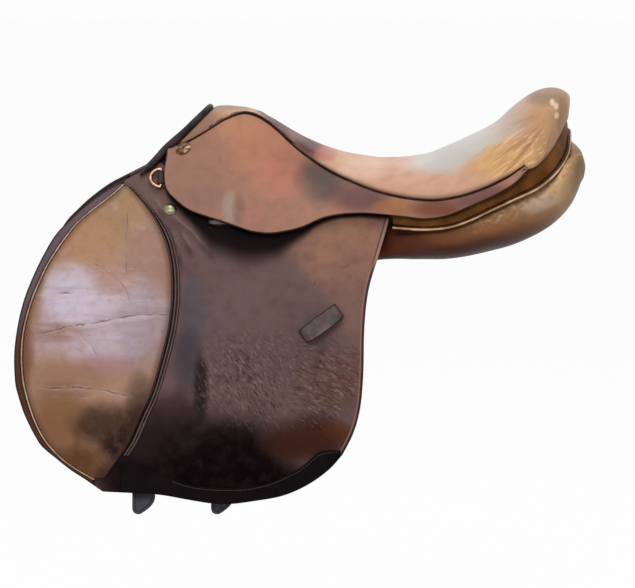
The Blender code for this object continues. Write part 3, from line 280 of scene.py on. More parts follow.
# Under flap
SWEAT_FLAP_TOP = ((-0.300, 0.042), (-0.200, 0.043), (-0.100, 0.044), (-0.034, 0.036))
SWEAT_FLAP_FRONT_LOW = (-0.328, -0.233)
SWEAT_FLAP_REAR_LOW = (-0.078, -0.196)
SWEAT_FLAP_INSET = 0.008

# Seam between the cantle facing and the panel, and the facing's top (x, half width, z)
PANEL_SEAM = (
    (-0.010, 0.106, 0.041), (0.021, 0.122, 0.040), (0.048, 0.135, 0.043), (0.071, 0.144, 0.051),
    (0.095, 0.151, 0.063), (0.120, 0.153, 0.075), (0.146, 0.148, 0.087), (0.167, 0.128, 0.103),
    (0.181, 0.090, 0.120), (0.1862, 0.042, 0.137), (0.1876, 0.0, 0.143),
)
FACING_TOP = (
    (-0.010, 0.101, 0.060), (0.021, 0.113, 0.057), (0.048, 0.124, 0.060), (0.071, 0.135, 0.072),
    (0.095, 0.143, 0.086), (0.118, 0.1465, 0.0975), (0.141, 0.1425, 0.1060), (0.1585, 0.123, 0.1175),
    (0.1725, 0.088, 0.1315), (0.1825, 0.042, 0.1455), (0.1862, 0.0, 0.1500),
)

# Panel stations: x, top end, middle, bottom end of its curved middle line (half width, z), half thickness
PANEL_STATIONS = (
    (0.2028, (0.060, 0.108), (0.072, 0.101), (0.082, 0.107), 0.003),
    (0.2014, (0.052, 0.114), (0.074, 0.094), (0.088, 0.113), 0.010),
    (0.1980, (0.042, 0.122), (0.080, 0.086), (0.095, 0.120), 0.016),
    (0.1870, (0.034, 0.129), (0.086, 0.056), (0.109, 0.119), 0.025),
    (0.1670, (0.032, 0.107), (0.0905, 0.037), (0.127, 0.099), 0.026),
    (0.140, (0.032, 0.086), (0.093, 0.025), (0.1435, 0.0785), 0.025),
    (0.106, (0.032, 0.068), (0.092, 0.016), (0.149, 0.062), 0.024),
    (0.056, (0.032, 0.054), (0.088, 0.010), (0.135, 0.039), 0.021),
    (0.017, (0.032, 0.050), (0.079, 0.009), (0.116, 0.032), 0.019),
    (-0.025, (0.033, 0.051), (0.067, 0.016), (0.093, 0.014), 0.015),
    (-0.060, (0.033, 0.056), (0.062, 0.020), (0.092, -0.010), 0.012),
    (-0.110, (0.032, 0.067), (0.058, 0.034), (0.105, -0.046), 0.011),
    (-0.170, (0.030, 0.076), (0.052, 0.038), (0.110, -0.068), 0.010),
    (-0.230, (0.029, 0.076), (0.048, 0.044), (0.110, -0.075), 0.009),
    (-0.280, (0.036, 0.072), (0.056, 0.042), (0.110, -0.070), 0.009),
    (-0.315, (0.056, 0.064), (0.078, 0.030), (0.110, -0.060), 0.008),
    (-0.335, (0.078, 0.034), (0.092, 0.000), (0.110, -0.045), 0.004),
)
PANEL_SQUARENESS = 3.2

# Fittings
DEE_BAR_X = -0.266
DEE_HEIGHT = 0.091
DEE_WIRE_RADIUS = 0.0018
DEE_HALF_HEIGHT = 0.0115
DEE_REACH = 0.0115
DEE_STAND = 0.0030
DEE_SLEEVE_HALF = 0.0078
DEE_SLEEVE_RADIUS = 0.0038
BADGE_SHARES = (0.055, 0.800)
BADGE_RADIUS = 0.009
BADGE_RISE = 0.0030
NAIL_PLACE = (-0.255, 0.060)
NAIL_RADIUS = 0.007
NAIL_RISE = 0.0030
BILLET_WIDTH = 0.025
BILLET_TOP = 0.032
BILLET_TIP = -0.268
BILLET_POINT = 0.007
BILLET_SLOPE = 0.020
BILLET_LEFT_ROUND = 0.0050
BILLET_RIGHT_CUT = 0.0165
BILLET_LEAN = 0.0055
MIDDLE_BILLET_SHORTER = 0.035

# Holes of a girth strap: number, height of the first over the tip, pitch, and the rim's two radii
HOLES = 8
FIRST_HOLE = 0.035
HOLE_PITCH = 0.025
HOLE_EDGE = (0.0036, 0.0012)

# Girth straps: place along the saddle, depth below the flap's face and height of the tip
BILLET_PLACES = {
    "front": (-0.288, OUTER_BILLET_DEPTH, BILLET_TIP),
    "middle": (-0.245, MIDDLE_BILLET_DEPTH, BILLET_TIP + MIDDLE_BILLET_SHORTER),
    "rear": (-0.202, OUTER_BILLET_DEPTH, BILLET_TIP),
}

# Corner of the cantle, where the seat's folds meet, and the painted glints below it, in side view (x, z)
CANTLE_CORNER = (0.172, 0.172)
CANTLE_GLINTS = ((0.1668, 0.1771), (0.1709, 0.1729), (0.1708, 0.1633))

# The shadow under the skirt is whole at the first of these shares of its width and ends at the second
SHADE_START = 0.70
SHADE_END = 1.75

# Width of the deep shadow under the skirt's edge, at each x
SKIRT_SHADE = (
    (-0.272, 0.0), (-0.262, 0.004), (-0.234, 0.010), (-0.211, 0.028), (-0.179, 0.030), (-0.152, 0.024),
    (-0.134, 0.020), (-0.116, 0.012), (-0.098, 0.007), (-0.070, 0.004), (-0.026, 0.004), (-0.010, 0.003),
)

# Lip beside each crease: its height as a share of the depth, and its place in half widths
CREASE_LIP = 0.45
CREASE_LIP_PLACE = 2.1

# Farthest distance from a crease that is written down
CREASE_REACH = 0.006

# Depth at which a crease counts as whole
CREASE_FULL = 0.0012

# Creases pressed into the leather: points in side view (x, z), half width and depth
PAD_CREASES = (
    (((-0.400, -0.072), (-0.380, -0.068), (-0.362, -0.062), (-0.338, -0.060), (-0.313, -0.054),
      (-0.285, -0.0505), (-0.254, -0.052)), 0.0020, 0.0008),
    (((-0.379, -0.028), (-0.366, -0.0272), (-0.355, -0.028)), 0.0013, 0.0011),
    (((-0.357, 0.016), (-0.343, 0.006), (-0.332, 0.001), (-0.317, -0.009)), 0.0024, 0.0010),
    (((-0.318, -0.006), (-0.303, -0.022), (-0.296, -0.040)), 0.0020, 0.0006),
    (((-0.402, -0.127), (-0.380, -0.130), (-0.355, -0.128), (-0.325, -0.131),
      (-0.292, -0.140)), 0.0026, 0.0009),
    (((-0.388, -0.136), (-0.365, -0.139), (-0.338, -0.137)), 0.0020, 0.0008),
    (((-0.352, -0.070), (-0.338, -0.086), (-0.330, -0.098)), 0.0018, 0.0006),
    (((-0.302, 0.063), (-0.3025, 0.020), (-0.3015, -0.016)), 0.0011, 0.0006),
)
FLAP_CREASES = (
    (((-0.271, 0.066), (-0.256, 0.040), (-0.246, 0.014), (-0.241, -0.008)), 0.0028, 0.0012),
    (((-0.264, 0.058), (-0.245, 0.036), (-0.232, 0.014), (-0.225, -0.002)), 0.0030, 0.0012),
    (((-0.254, 0.052), (-0.232, 0.034), (-0.216, 0.016), (-0.206, 0.006)), 0.0030, 0.0010),
    (((-0.050, 0.006), (-0.064, -0.001), (-0.078, 0.001)), 0.0012, 0.0005),
    (((-0.092, -0.012), (-0.096, -0.020), (-0.101, -0.026)), 0.0012, 0.0005),
)

# Patches of each leather in side view, wear together with some painted shade and painted highlights: colour,
# middle (x, z), reach along x and z, and strength
SEAT_PATCHES = (
    ((142, 108, 90), -0.228, 0.152, 0.042, 0.036, 0.90),
    ((130, 120, 108), -0.188, 0.173, 0.046, 0.008, 0.80),
    # Painted shade on the seat's slope behind the pommel
    ((62, 30, 28), -0.136, 0.153, 0.030, 0.032, 1.00),
    ((72, 34, 34), -0.106, 0.130, 0.028, 0.024, 0.95),
    ((182, 108, 98), -0.083, 0.119, 0.015, 0.009, 0.75),
    # Painted highlight: a light glint on the side of the seat
    ((226, 190, 170), -0.045, 0.104, 0.036, 0.014, 0.65),
    ((212, 170, 146), 0.030, 0.100, 0.060, 0.022, 0.50),
    ((210, 162, 106), 0.105, 0.122, 0.056, 0.030, 0.85),
    ((186, 144, 102), 0.160, 0.150, 0.034, 0.042, 0.85),
    ((136, 108, 70), 0.160, 0.188, 0.036, 0.016, 0.95),
    ((148, 100, 62), 0.179, 0.158, 0.010, 0.030, 0.65),
)
SKIRT_PATCHES = (
    ((150, 112, 94), -0.235, 0.095, 0.050, 0.045, 0.75),
    ((184, 132, 100), -0.178, 0.150, 0.036, 0.020, 0.75),
    ((180, 124, 96), -0.156, 0.122, 0.045, 0.035, 0.75),
    ((190, 122, 102), -0.137, 0.092, 0.034, 0.026, 0.60),
    ((166, 106, 90), -0.116, 0.112, 0.034, 0.024, 0.50),
    ((144, 106, 98), -0.222, 0.072, 0.038, 0.018, 0.65),
    # Painted highlight: a grey streak down the bulge over the stirrup bar
    ((164, 150, 136), -0.190, 0.062, 0.0100, 0.020, 0.60),
    ((112, 88, 78), -0.179, 0.060, 0.0090, 0.020, 0.50),
    ((182, 112, 110), -0.164, 0.054, 0.016, 0.012, 0.45),
    ((74, 70, 66), -0.086, 0.093, 0.034, 0.036, 0.88),
    ((100, 70, 68), -0.050, 0.074, 0.044, 0.020, 0.88),
    ((166, 104, 58), -0.008, 0.064, 0.028, 0.010, 0.60),
    ((112, 62, 46), 0.036, 0.064, 0.034, 0.014, 0.80),
    ((112, 76, 72), 0.084, 0.080, 0.044, 0.018, 0.85),
    ((150, 112, 94), 0.128, 0.106, 0.014, 0.010, 0.90),
)
FLAP_PATCHES = (
    ((152, 110, 90), -0.066, 0.022, 0.062, 0.058, 0.90),
    ((132, 98, 86), -0.056, -0.030, 0.040, 0.060, 0.70),
    ((106, 84, 82), -0.150, -0.040, 0.080, 0.045, 0.60),
    ((116, 92, 82), -0.262, 0.078, 0.040, 0.030, 0.70),
    ((84, 80, 86), -0.229, -0.050, 0.018, 0.050, 0.70),
    ((60, 58, 66), -0.236, -0.104, 0.020, 0.042, 0.80),
    ((104, 74, 64), -0.075, -0.120, 0.046, 0.038, 0.70),
    ((100, 80, 82), -0.160, -0.100, 0.060, 0.034, 0.55),
    ((36, 20, 22), -0.300, -0.196, 0.070, 0.060, 0.92),
    ((20, 11, 14), -0.300, -0.232, 0.044, 0.034, 1.00),
    ((44, 28, 30), -0.250, -0.160, 0.034, 0.034, 0.80),
    ((11, 6, 8), -0.198, -0.208, 0.100, 0.062, 1.00),
    ((22, 18, 22), -0.2205, -0.128, 0.0100, 0.042, 0.85),
    ((60, 28, 18), -0.104, -0.186, 0.055, 0.032, 0.95),
    ((86, 46, 26), -0.070, -0.176, 0.018, 0.014, 0.55),
    ((9, 5, 6), -0.180, -0.238, 0.130, 0.034, 1.00),
)
PAD_PATCHES = (
    ((158, 126, 94), -0.318, 0.062, 0.050, 0.040, 0.85),
    ((174, 130, 96), -0.346, 0.026, 0.040, 0.030, 0.65),
    ((152, 120, 110), -0.276, 0.006, 0.032, 0.050, 0.70),
    # Lilac middle: worn bloom with painted glare on it, whitest towards the upper front
    ((188, 166, 175), -0.338, -0.056, 0.110, 0.056, 0.84),
    ((208, 200, 216), -0.364, -0.026, 0.042, 0.034, 0.62),
    ((198, 184, 198), -0.340, -0.044, 0.060, 0.022, 0.50),
    ((188, 174, 184), -0.318, -0.082, 0.052, 0.020, 0.60),
    ((158, 142, 150), -0.282, -0.066, 0.040, 0.050, 0.65),
    ((148, 110, 94), -0.382, -0.070, 0.044, 0.013, 0.72),
    ((178, 138, 126), -0.318, -0.014, 0.026, 0.018, 0.55),
    ((164, 120, 124), -0.322, -0.106, 0.040, 0.016, 0.60),
    ((150, 110, 88), -0.366, -0.118, 0.052, 0.022, 0.70),
    ((134, 94, 64), -0.372, -0.165, 0.040, 0.050, 0.95),
    ((66, 46, 32), -0.318, -0.170, 0.050, 0.032, 0.95),
    ((92, 58, 28), -0.350, -0.212, 0.044, 0.028, 0.96),
    ((38, 22, 18), -0.303, -0.198, 0.030, 0.038, 1.00),
    ((34, 20, 20), -0.318, -0.228, 0.026, 0.018, 1.00),
    ((50, 32, 26), -0.287, -0.158, 0.022, 0.050, 0.90),
    ((148, 110, 66), -0.408, -0.030, 0.018, 0.056, 0.75),
    ((124, 74, 44), -0.414, -0.090, 0.015, 0.040, 0.75),
)
PANEL_PATCHES = (
    ((216, 176, 132), 0.150, 0.082, 0.030, 0.018, 0.50),
    ((122, 80, 52), 0.060, 0.032, 0.040, 0.012, 0.55),
    ((148, 92, 58), 0.122, 0.040, 0.044, 0.012, 0.50),
    # Painted highlight: a pale grey streak slanting across the panel
    ((190, 172, 162), 0.142, 0.066, 0.017, 0.0080, 0.42),
    ((190, 172, 162), 0.156, 0.073, 0.017, 0.0080, 0.42),
)

# View of the photograph
VIEW_TARGET = Vector((-0.0928, 0.0, -0.0416))
VIEW_DISTANCE = 5.0
VIEW_ELEVATION = math.radians(5.0)
VIEW_WIDTH = 0.7144
SENSOR_WIDTH = 36.0
FLOOR_HEIGHT = -0.50
FLOOR_RADIUS = 30.0

# How far the floor looks white to the camera, and how strongly the surroundings light the saddle
FLOOR_GLOW = 0.955
SURROUNDINGS = 0.42

# Lamps: name, azimuth from the camera's side, elevation, distance, size, power and colour
LAMPS = (
    ("front softbox", -8, 34, 3.0, (1.6, 1.0), 30, (1.0, 0.98, 1.0)),
    ("top softbox", 20, 78, 2.6, (1.8, 1.4), 26, (1.0, 1.0, 1.0)),
    ("rear fill", 165, 35, 3.2, (2.0, 1.2), 12, (1.0, 0.99, 0.97)),
)


class Route:
    """A smooth curve through points, read by the share of its length or where it crosses a value."""

    STEPS = 10

    def __init__(self, points):
        points = [Vector(point) if len(point) == 3 else Vector((point[0], 0.0, point[1])) for point in points]
        ends = [2 * points[0] - points[1]] + points + [2 * points[-1] - points[-2]]
        self.samples = []
        for first, start, stop, last in zip(ends, ends[1:], ends[2:], ends[3:]):
            for step in range(self.STEPS):
                self.samples.append(self.between(first, start, stop, last, step / self.STEPS))
        self.samples.append(points[-1])
        self.lengths = [0.0]
        for a, b in zip(self.samples, self.samples[1:]):
            self.lengths.append(self.lengths[-1] + (b - a).length)

    @staticmethod
    def between(first, start, stop, last, t):
        """Catmull-Rom spline between two of the points."""
        return 0.5 * (2 * start + (stop - first) * t + (2 * first - 5 * start + 4 * stop - last) * t ** 2
                      + (3 * start - first - 3 * stop + last) * t ** 3)

    @property
    def length(self):
        return self.lengths[-1]

    def at(self, share):
        """Point at a share, 0 to 1, of the curve's length."""
        goal = min(max(share, 0.0), 1.0) * self.length
        index = min(max(bisect.bisect_left(self.lengths, goal), 1), len(self.lengths) - 1)
        start, stop = self.lengths[index - 1], self.lengths[index]
        return self.samples[index - 1].lerp(self.samples[index], (goal - start) / (stop - start))

    def along(self, share):
        """Direction of the curve at a share of its length."""
        return (self.at(share + 0.004) - self.at(share - 0.004)).normalized()

    def cross(self, axis, value):
        """First point where the curve's coordinate on an axis equals a value, or its nearer end."""
        for a, b in zip(self.samples, self.samples[1:]):
            if min(a[axis], b[axis]) <= value <= max(a[axis], b[axis]) and a[axis] != b[axis]:
                return a.lerp(b, (value - a[axis]) / (b[axis] - a[axis]))
        return min((self.samples[0], self.samples[-1]), key=lambda point: abs(point[axis] - value))

    def points(self, count):
        return [self.at(index / (count - 1)) for index in range(count)]


def flap_half_width(z):
    """Half width of the flap's outer face at a height."""
    return FLAP_FULL_REACH - FLAP_DRAW_IN * math.exp((z - FLAP_KNEE_HEIGHT) / FLAP_CURVE)


def flap_slope(z):
    return (flap_half_width(z) - FLAP_FULL_REACH) / FLAP_CURVE


def layer(z, depth):
    """Half width at a height of a surface that lies the given depth inside the flap's outer face."""
    return flap_half_width(z) - depth * math.sqrt(1 + flap_slope(z) ** 2)


def flap_normal(side, z):
    return Vector((0.0, side, -flap_slope(z))).normalized()


def on_side(side, point):
    """Turn a point with a half width into a point on one side of the saddle."""
    return Vector((point[0], side * point[1], point[2]))


def ease(value, low, high):
    """0 below low, 1 above high, smooth between; low may be the larger one."""
    t = min(max((value - low) / (high - low), 0.0), 1.0)
    return t * t * (3 - 2 * t)


def coons(front, rear, top, bottom):
    """Patch between four outlines in side view; u runs front to rear, v from the bottom up."""

    def place(u, v):
        sides = front.at(1 - v).lerp(rear.at(1 - v), u)
        ends = bottom.at(u).lerp(top.at(u), v)
        corners = bottom.at(0).lerp(bottom.at(1), u).lerp(top.at(0).lerp(top.at(1), u), v)
        return sides + ends - corners

    return place


def lay_on(side, plan, rise):
    """Lay a side view on the flap, each point as far out as rise(x, z) says."""

    def place(u, v):
        point = plan(u, v)
        return on_side(side, (point.x, layer(point.z, -rise(point.x, point.z)), point.z))

    return place


def read_rows(rows, value):
    """Second number of a table's rows at a value between their first numbers; 0 outside the table."""
    for (start, low), (stop, high) in zip(rows, rows[1:]):
        if start <= value <= stop:
            return low + (high - low) * (value - start) / (stop - start)
    return 0.0


def crease_gap(creases, x, z):
    """Signed distance to the nearest of some creases, no more than the crease reach each way."""
    here = Vector((x, z))
    gap = CREASE_REACH
    for points, _, _ in creases:
        for a, b in zip(points, points[1:]):
            start, run = Vector(a), Vector(b) - Vector(a)
            share = min(max((here - start).dot(run) / run.length_squared, 0.0), 1.0)
            away = here - start - run * share
            if away.length < abs(gap):
                gap = math.copysign(away.length, run.x * away.y - run.y * away.x)
    return gap


def crease_depth(creases, x, z):
    """How deep a point lies in the nearest of some creases, with a low lip beside each."""
    depth = 0.0
    here = Vector((x, z))
    for points, half_width, deep in creases:
        nearest = math.inf
        for a, b in zip(points, points[1:]):
            start, run = Vector(a), Vector(b) - Vector(a)
            share = min(max((here - start).dot(run) / run.length_squared, 0.0), 1.0)
            nearest = min(nearest, (here - start - run * share).length)
        ends = min((here - Vector(points[0])).length, (here - Vector(points[-1])).length)
        wander = 0.6 + 0.6 * noise.noise(Vector((x * 90, 3.0, z * 90)))
        deep = deep * wander * ease(ends, -0.004, 0.012)
        away = nearest / half_width
        depth += deep * (math.exp(-away ** 2) - CREASE_LIP * math.exp(-(away - CREASE_LIP_PLACE) ** 2))
    return depth


# Meshes

def laid(columns, rows, place):
    """A fine grid laid over a surface; each vertex keeps its two shares in the layer share."""
    bm = bmesh.new()
    bmesh.ops.create_grid(bm, x_segments=columns, y_segments=rows, size=0.5)
    share = bm.verts.layers.float_vector.new("share")
    for vert in bm.verts:
        u, v = vert.co.x + 0.5, vert.co.y + 0.5
        vert[share] = (u, v, 0.0)
        vert.co = place(u, v)
    return bm


def face_out(bm, outward):
    """Turn the faces of an open sheet so that they look along outward, a vector or a function of a point."""
    bm.normal_update()
    look = outward if callable(outward) else lambda point: outward
    if sum(face.normal.dot(look(face.calc_center_median())) * face.calc_area() for face in bm.faces) < 0:
        bmesh.ops.reverse_faces(bm, faces=bm.faces[:])
    bm.normal_update()


def mark_rim(bm):
    """Write each vertex's distance from the sheet's edge, in metres, as the attribute rim."""
    rim = bm.verts.layers.float.new("rim")
    edge = [vert.co.copy() for vert in bm.verts if vert.is_boundary]
    tree = kdtree.KDTree(len(edge))
    for index, point in enumerate(edge):
        tree.insert(point, index)
    tree.balance()
    for vert in bm.verts:
        vert[rim] = tree.find(vert.co)[2]


def mark_creases(bm, creases):
    """Write how deep each vertex lies in a crease, and its distance from it, as crease and gap."""
    mark = bm.verts.layers.float.new("crease")
    gap = bm.verts.layers.float.new("gap")
    for vert in bm.verts:
        vert[mark] = min(max(crease_depth(creases, vert.co.x, vert.co.z) / CREASE_FULL, 0.0), 1.0)
        vert[gap] = crease_gap(creases, vert.co.x, vert.co.z)


def push(bm, height):
    """Move each vertex along its normal by height(u, v, point)."""
    share = bm.verts.layers.float_vector["share"]
    bm.normal_update()
    moves = [(vert, vert.normal * height(vert[share][0], vert[share][1], vert.co)) for vert in bm.verts]
    for vert, move in moves:
        vert.co += move


def close_tube(bm):
    """Join the two long edges of a rolled-up grid and cap its ends."""
    bmesh.ops.remove_doubles(bm, verts=bm.verts[:], dist=1e-6)
    bmesh.ops.holes_fill(bm, edges=[edge for edge in bm.edges if edge.is_boundary], sides=0)
    bmesh.ops.recalc_face_normals(bm, faces=bm.faces[:])


def piece_from(bm, name, finish, sharp=50):
    """Turn a bmesh into a piece in its finish; its rest place is kept as the attribute rest."""
    mesh = bpy.data.meshes.new(name)
    bm.to_mesh(mesh)
    bm.free()
    mesh.shade_smooth()
    mesh.set_sharp_from_angle(angle=math.radians(sharp))
    rest = mesh.attributes.new("rest", "FLOAT_VECTOR", "POINT")
    rest.data.foreach_set("vector", [value for vert in mesh.vertices for value in vert.co])
    mesh.materials.append(finish)
    obj = bpy.data.objects.new(name, mesh)
    bpy.context.scene.collection.objects.link(obj)
    return obj


def round_edges(obj, width, segments, angle):
    """Round the edges that are sharper than an angle in degrees."""
    edge = obj.modifiers.new("rounded edge", "BEVEL")
    edge.width = width
    edge.segments = segments
    edge.limit_method = "ANGLE"
    edge.angle_limit = math.radians(angle)


def thicken(obj, thickness, rounding):
    """Give a sheet its thickness inwards and round its cut edges."""
    wall = obj.modifiers.new("leather", "SOLIDIFY")
    wall.thickness = thickness
    wall.offset = -1.0
    round_edges(obj, rounding, 3, 50)
    return obj


def closed_pad(name, columns, rows, outer, base, finish, creases):
    """A stuffed form: an outer surface and a flat base, joined at their edges."""
    bm = laid(columns, rows, outer)
    mark_rim(bm)
    mark_creases(bm, creases)
    share = bm.verts.layers.float_vector["share"]
    count = len(bm.verts)
    bmesh.ops.solidify(bm, geom=bm.faces[:], thickness=0.001)
    bm.verts.ensure_lookup_table()
    for vert in bm.verts[count:]:
        vert.co = base(vert[share][0], vert[share][1])
    bmesh.ops.recalc_face_normals(bm, faces=bm.faces[:])
    return piece_from(bm, name, finish)


def cord_along(name, route, radius, finish, pitch=0.0025, around=12, closed=False, swell=None):
    """Round cord or wire along a route; swell(share) may vary its radius."""
    count = max(8, int(route.length / pitch))
    spots, across = [], Vector((0.013, 0.021, 1.0)).normalized()
    for index in range(count + 1):
        run = route.along(index / count) if not closed else closed_direction(route, index / count)
        across = (across - run * across.dot(run)).normalized()
        spots.append((route.at(index / count), across.copy(), run.cross(across)))

    def place(u, v):
        centre, up, out = spots[round(u * count)]
        wide = radius * (swell(u) if swell else 1.0)
        turn = 2 * math.pi * v
        return centre + (up * math.cos(turn) + out * math.sin(turn)) * wide

    bm = laid(count, around, place)
    close_tube(bm)
    return piece_from(bm, name, finish)


def closed_direction(route, share):
    """Direction of a route whose two ends meet."""
    step = 0.004
    return (route.at((share + step) % 1.0) - route.at((share - step) % 1.0)).normalized()


def turned(name, profile, place, normal, finish):
    """A round piece spun from a profile of (radius, height) and stood on a surface."""
    bm = bmesh.new()
    verts = [bm.verts.new((radius, 0.0, height)) for radius, height in profile]
    for a, b in zip(verts, verts[1:]):
        bm.edges.new((a, b))
    bmesh.ops.spin(bm, geom=bm.verts[:] + bm.edges[:], cent=(0, 0, 0), axis=(0, 0, 1), angle=2 * math.pi,
                   steps=TURNED_STEPS, use_merge=True)
    bmesh.ops.remove_doubles(bm, verts=bm.verts[:], dist=1e-6)
    bmesh.ops.recalc_face_normals(bm, faces=bm.faces[:])
    turn = Vector((0, 0, 1)).rotation_difference(normal).to_matrix().to_4x4()
    bmesh.ops.transform(bm, matrix=Matrix.Translation(place) @ turn, verts=bm.verts[:])
    return piece_from(bm, name, finish, sharp=30)


def stitches(name, spots, length, width, finish):
    """A row of stitches: each spot gives the place, the direction of the thread and the surface's normal."""
    bm = bmesh.new()
    for place, run, normal in spots:
        side = normal.cross(run).normalized()
        frame_of = Matrix((run * length / 2, side * width / 2, normal * width / 2)).transposed().to_4x4()
        frame_of.translation = place
        bmesh.ops.create_icosphere(bm, subdivisions=1, radius=1.0, matrix=frame_of)
    bmesh.ops.recalc_face_normals(bm, faces=bm.faces[:])
    return piece_from(bm, name, finish, sharp=180)


def stitch_spot(side, here, ahead, stand):
    """A stitch on one side's leather: its place, its direction and the surface's normal."""
    normal = flap_normal(side, here.z)
    return here + normal * stand, (ahead - here).normalized(), normal


def refined(node, finish, rounding):
    """A rounded and merged copy of a CAD node, which it replaces."""
    bm = bmesh.new()
    bm.from_mesh(nodes[node].data)
    bmesh.ops.remove_doubles(bm, verts=bm.verts[:], dist=1e-6)
    obj = piece_from(bm, node + "_finished", finish, sharp=35)
    round_edges(obj, rounding, 2, 40)
    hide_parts(node)
    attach(obj, nodes[node]["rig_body"])
    return obj


# Materials

def paint(red, green, blue):
    """A colour given as screen values from 0 to 255, as the linear values that a shader takes."""
    def linear(value):
        value /= 255
        return value / 12.92 if value <= 0.04045 else ((value + 0.055) / 1.055) ** 2.4

    return (linear(red), linear(green), linear(blue), 1.0)


class Value:
    """A number that varies over a surface; sums on it add Math nodes."""

    def __init__(self, shading, socket):
        self.shading = shading
        self.socket = socket

    def maths(self, operation, *terms):
        return self.shading.node("ShaderNodeMath", {"operation": operation}, dict(enumerate(terms)))

    def __add__(self, other):
        return self.maths("ADD", self, other)

    def __sub__(self, other):
        return self.maths("SUBTRACT", self, other)

    def __rsub__(self, other):
        return self.maths("SUBTRACT", other, self)

    def __mul__(self, other):
        return self.maths("MULTIPLY", self, other)

    __radd__ = __add__
    __rmul__ = __mul__


class Shading:
    """The nodes of a material or of the surroundings."""

    def __init__(self, tree):
        self.tree = tree

    def node(self, kind, settings=None, sockets=None, output=0):
        """Add a node: its settings first, then the values or links of its sockets."""
        made = self.tree.nodes.new(kind)
        for key, value in (settings or {}).items():
            setattr(made, key, value)
        for key, value in (sockets or {}).items():
            if isinstance(value, Value):
                self.tree.links.new(value.socket, made.inputs[key])
            else:
                made.inputs[key].default_value = value
        return Value(self, made.outputs[output])

    def seen_plainly(self):
        """1 for what the camera and reflections see, 0 for the light that falls on the saddle."""
        camera = self.node("ShaderNodeLightPath", output="Is Camera Ray")
        return camera.maths("MAXIMUM", camera, self.node("ShaderNodeLightPath", output="Is Glossy Ray"))


class Finish(Shading):
    """A material: its Principled shader and the nodes that vary it over the piece."""

    def __init__(self, name, use_rest=True, **shader):
        self.material = bpy.data.materials.new(name)
        self.material.use_nodes = True
        super().__init__(self.material.node_tree)
        self.shader = self.tree.nodes["Principled BSDF"]
        for key, value in shader.items():
            self.shader.inputs[key.replace("_", " ")].default_value = value
        if use_rest:
            self.place = self.node("ShaderNodeAttribute", {"attribute_name": "rest"}, output="Vector")
        else:
            self.place = self.node("ShaderNodeTexCoord", output="Object")
        self.x = self.node("ShaderNodeSeparateXYZ", sockets={0: self.place}, output="X")
        self.z = self.node("ShaderNodeSeparateXYZ", sockets={0: self.place}, output="Z")

    def feed(self, socket, value):
        """Link a value to one of the shader's sockets."""
        self.tree.links.new(value.socket, self.shader.inputs[socket])

    def attribute(self, name):
        return self.node("ShaderNodeAttribute", {"attribute_name": name}, output="Fac")

    def smooth(self, value, low, high):
        return self.node("ShaderNodeMapRange", {"interpolation_type": "SMOOTHSTEP"},
                         {"Value": value, "From Min": low, "From Max": high})

    def mix(self, share, first, second):
        """The first colour where share is 0 and the second where it is 1."""
        return self.node("ShaderNodeMix", {"data_type": "RGBA", "clamp_factor": True},
                         {0: share, 6: first, 7: second}, output=2)

    def stretched(self, turn, scale):
        """The place, turned in side view and stretched."""
        spun = self.node("ShaderNodeVectorRotate", {"rotation_type": "Y_AXIS"},
                         {"Vector": self.place, "Angle": turn})
        return self.node("ShaderNodeVectorMath", {"operation": "MULTIPLY"}, {0: spun, 1: scale})

    def cloud(self, scale, detail=3.0, rough=0.55, place=None, warp=0.0):
        return self.node("ShaderNodeTexNoise", {"noise_dimensions": "3D"},
                         {"Vector": place or self.place, "Scale": scale, "Detail": detail,
                          "Roughness": rough, "Distortion": warp})

    def cells(self, scale):
        return self.node("ShaderNodeTexVoronoi", {"feature": "DISTANCE_TO_EDGE"},
                         {"Vector": self.place, "Scale": scale})

    def spot(self, x, z, reach_x, reach_z, wander=None):
        """1 in the middle of an oval patch and 0 outside it, with a soft edge."""
        across = (self.x - x) * (1 / reach_x)
        up = (self.z - z) * (1 / reach_z)
        far = across * across + up * up
        if wander:
            far = far + (wander - 0.5) * 1.1
        return self.smooth(far, 1.15, 0.05)

    def patches(self, ground, spots, wander):
        """A ground colour with soft oval patches of other colours over it."""
        colour = ground
        for shade, x, z, reach_x, reach_z, strength in spots:
            colour = self.mix(self.spot(x, z, reach_x, reach_z, wander) * strength, colour, paint(*shade))
        return colour

    def bump(self, height, distance, strength=1.0, onto=None):
        sockets = {"Height": height, "Distance": distance, "Strength": strength}
        if onto:
            sockets["Normal"] = onto
        return self.node("ShaderNodeBump", {}, sockets)

    def grain(self, coarse, fine, depth):
        """Leather's pores: small rounded cells with finer ones between them."""
        cells = self.cells(coarse)
        pores = self.cloud(fine, 2.0, 0.6)
        return self.bump(self.smooth(cells, 0.0, 0.22) + pores * 0.35, depth)


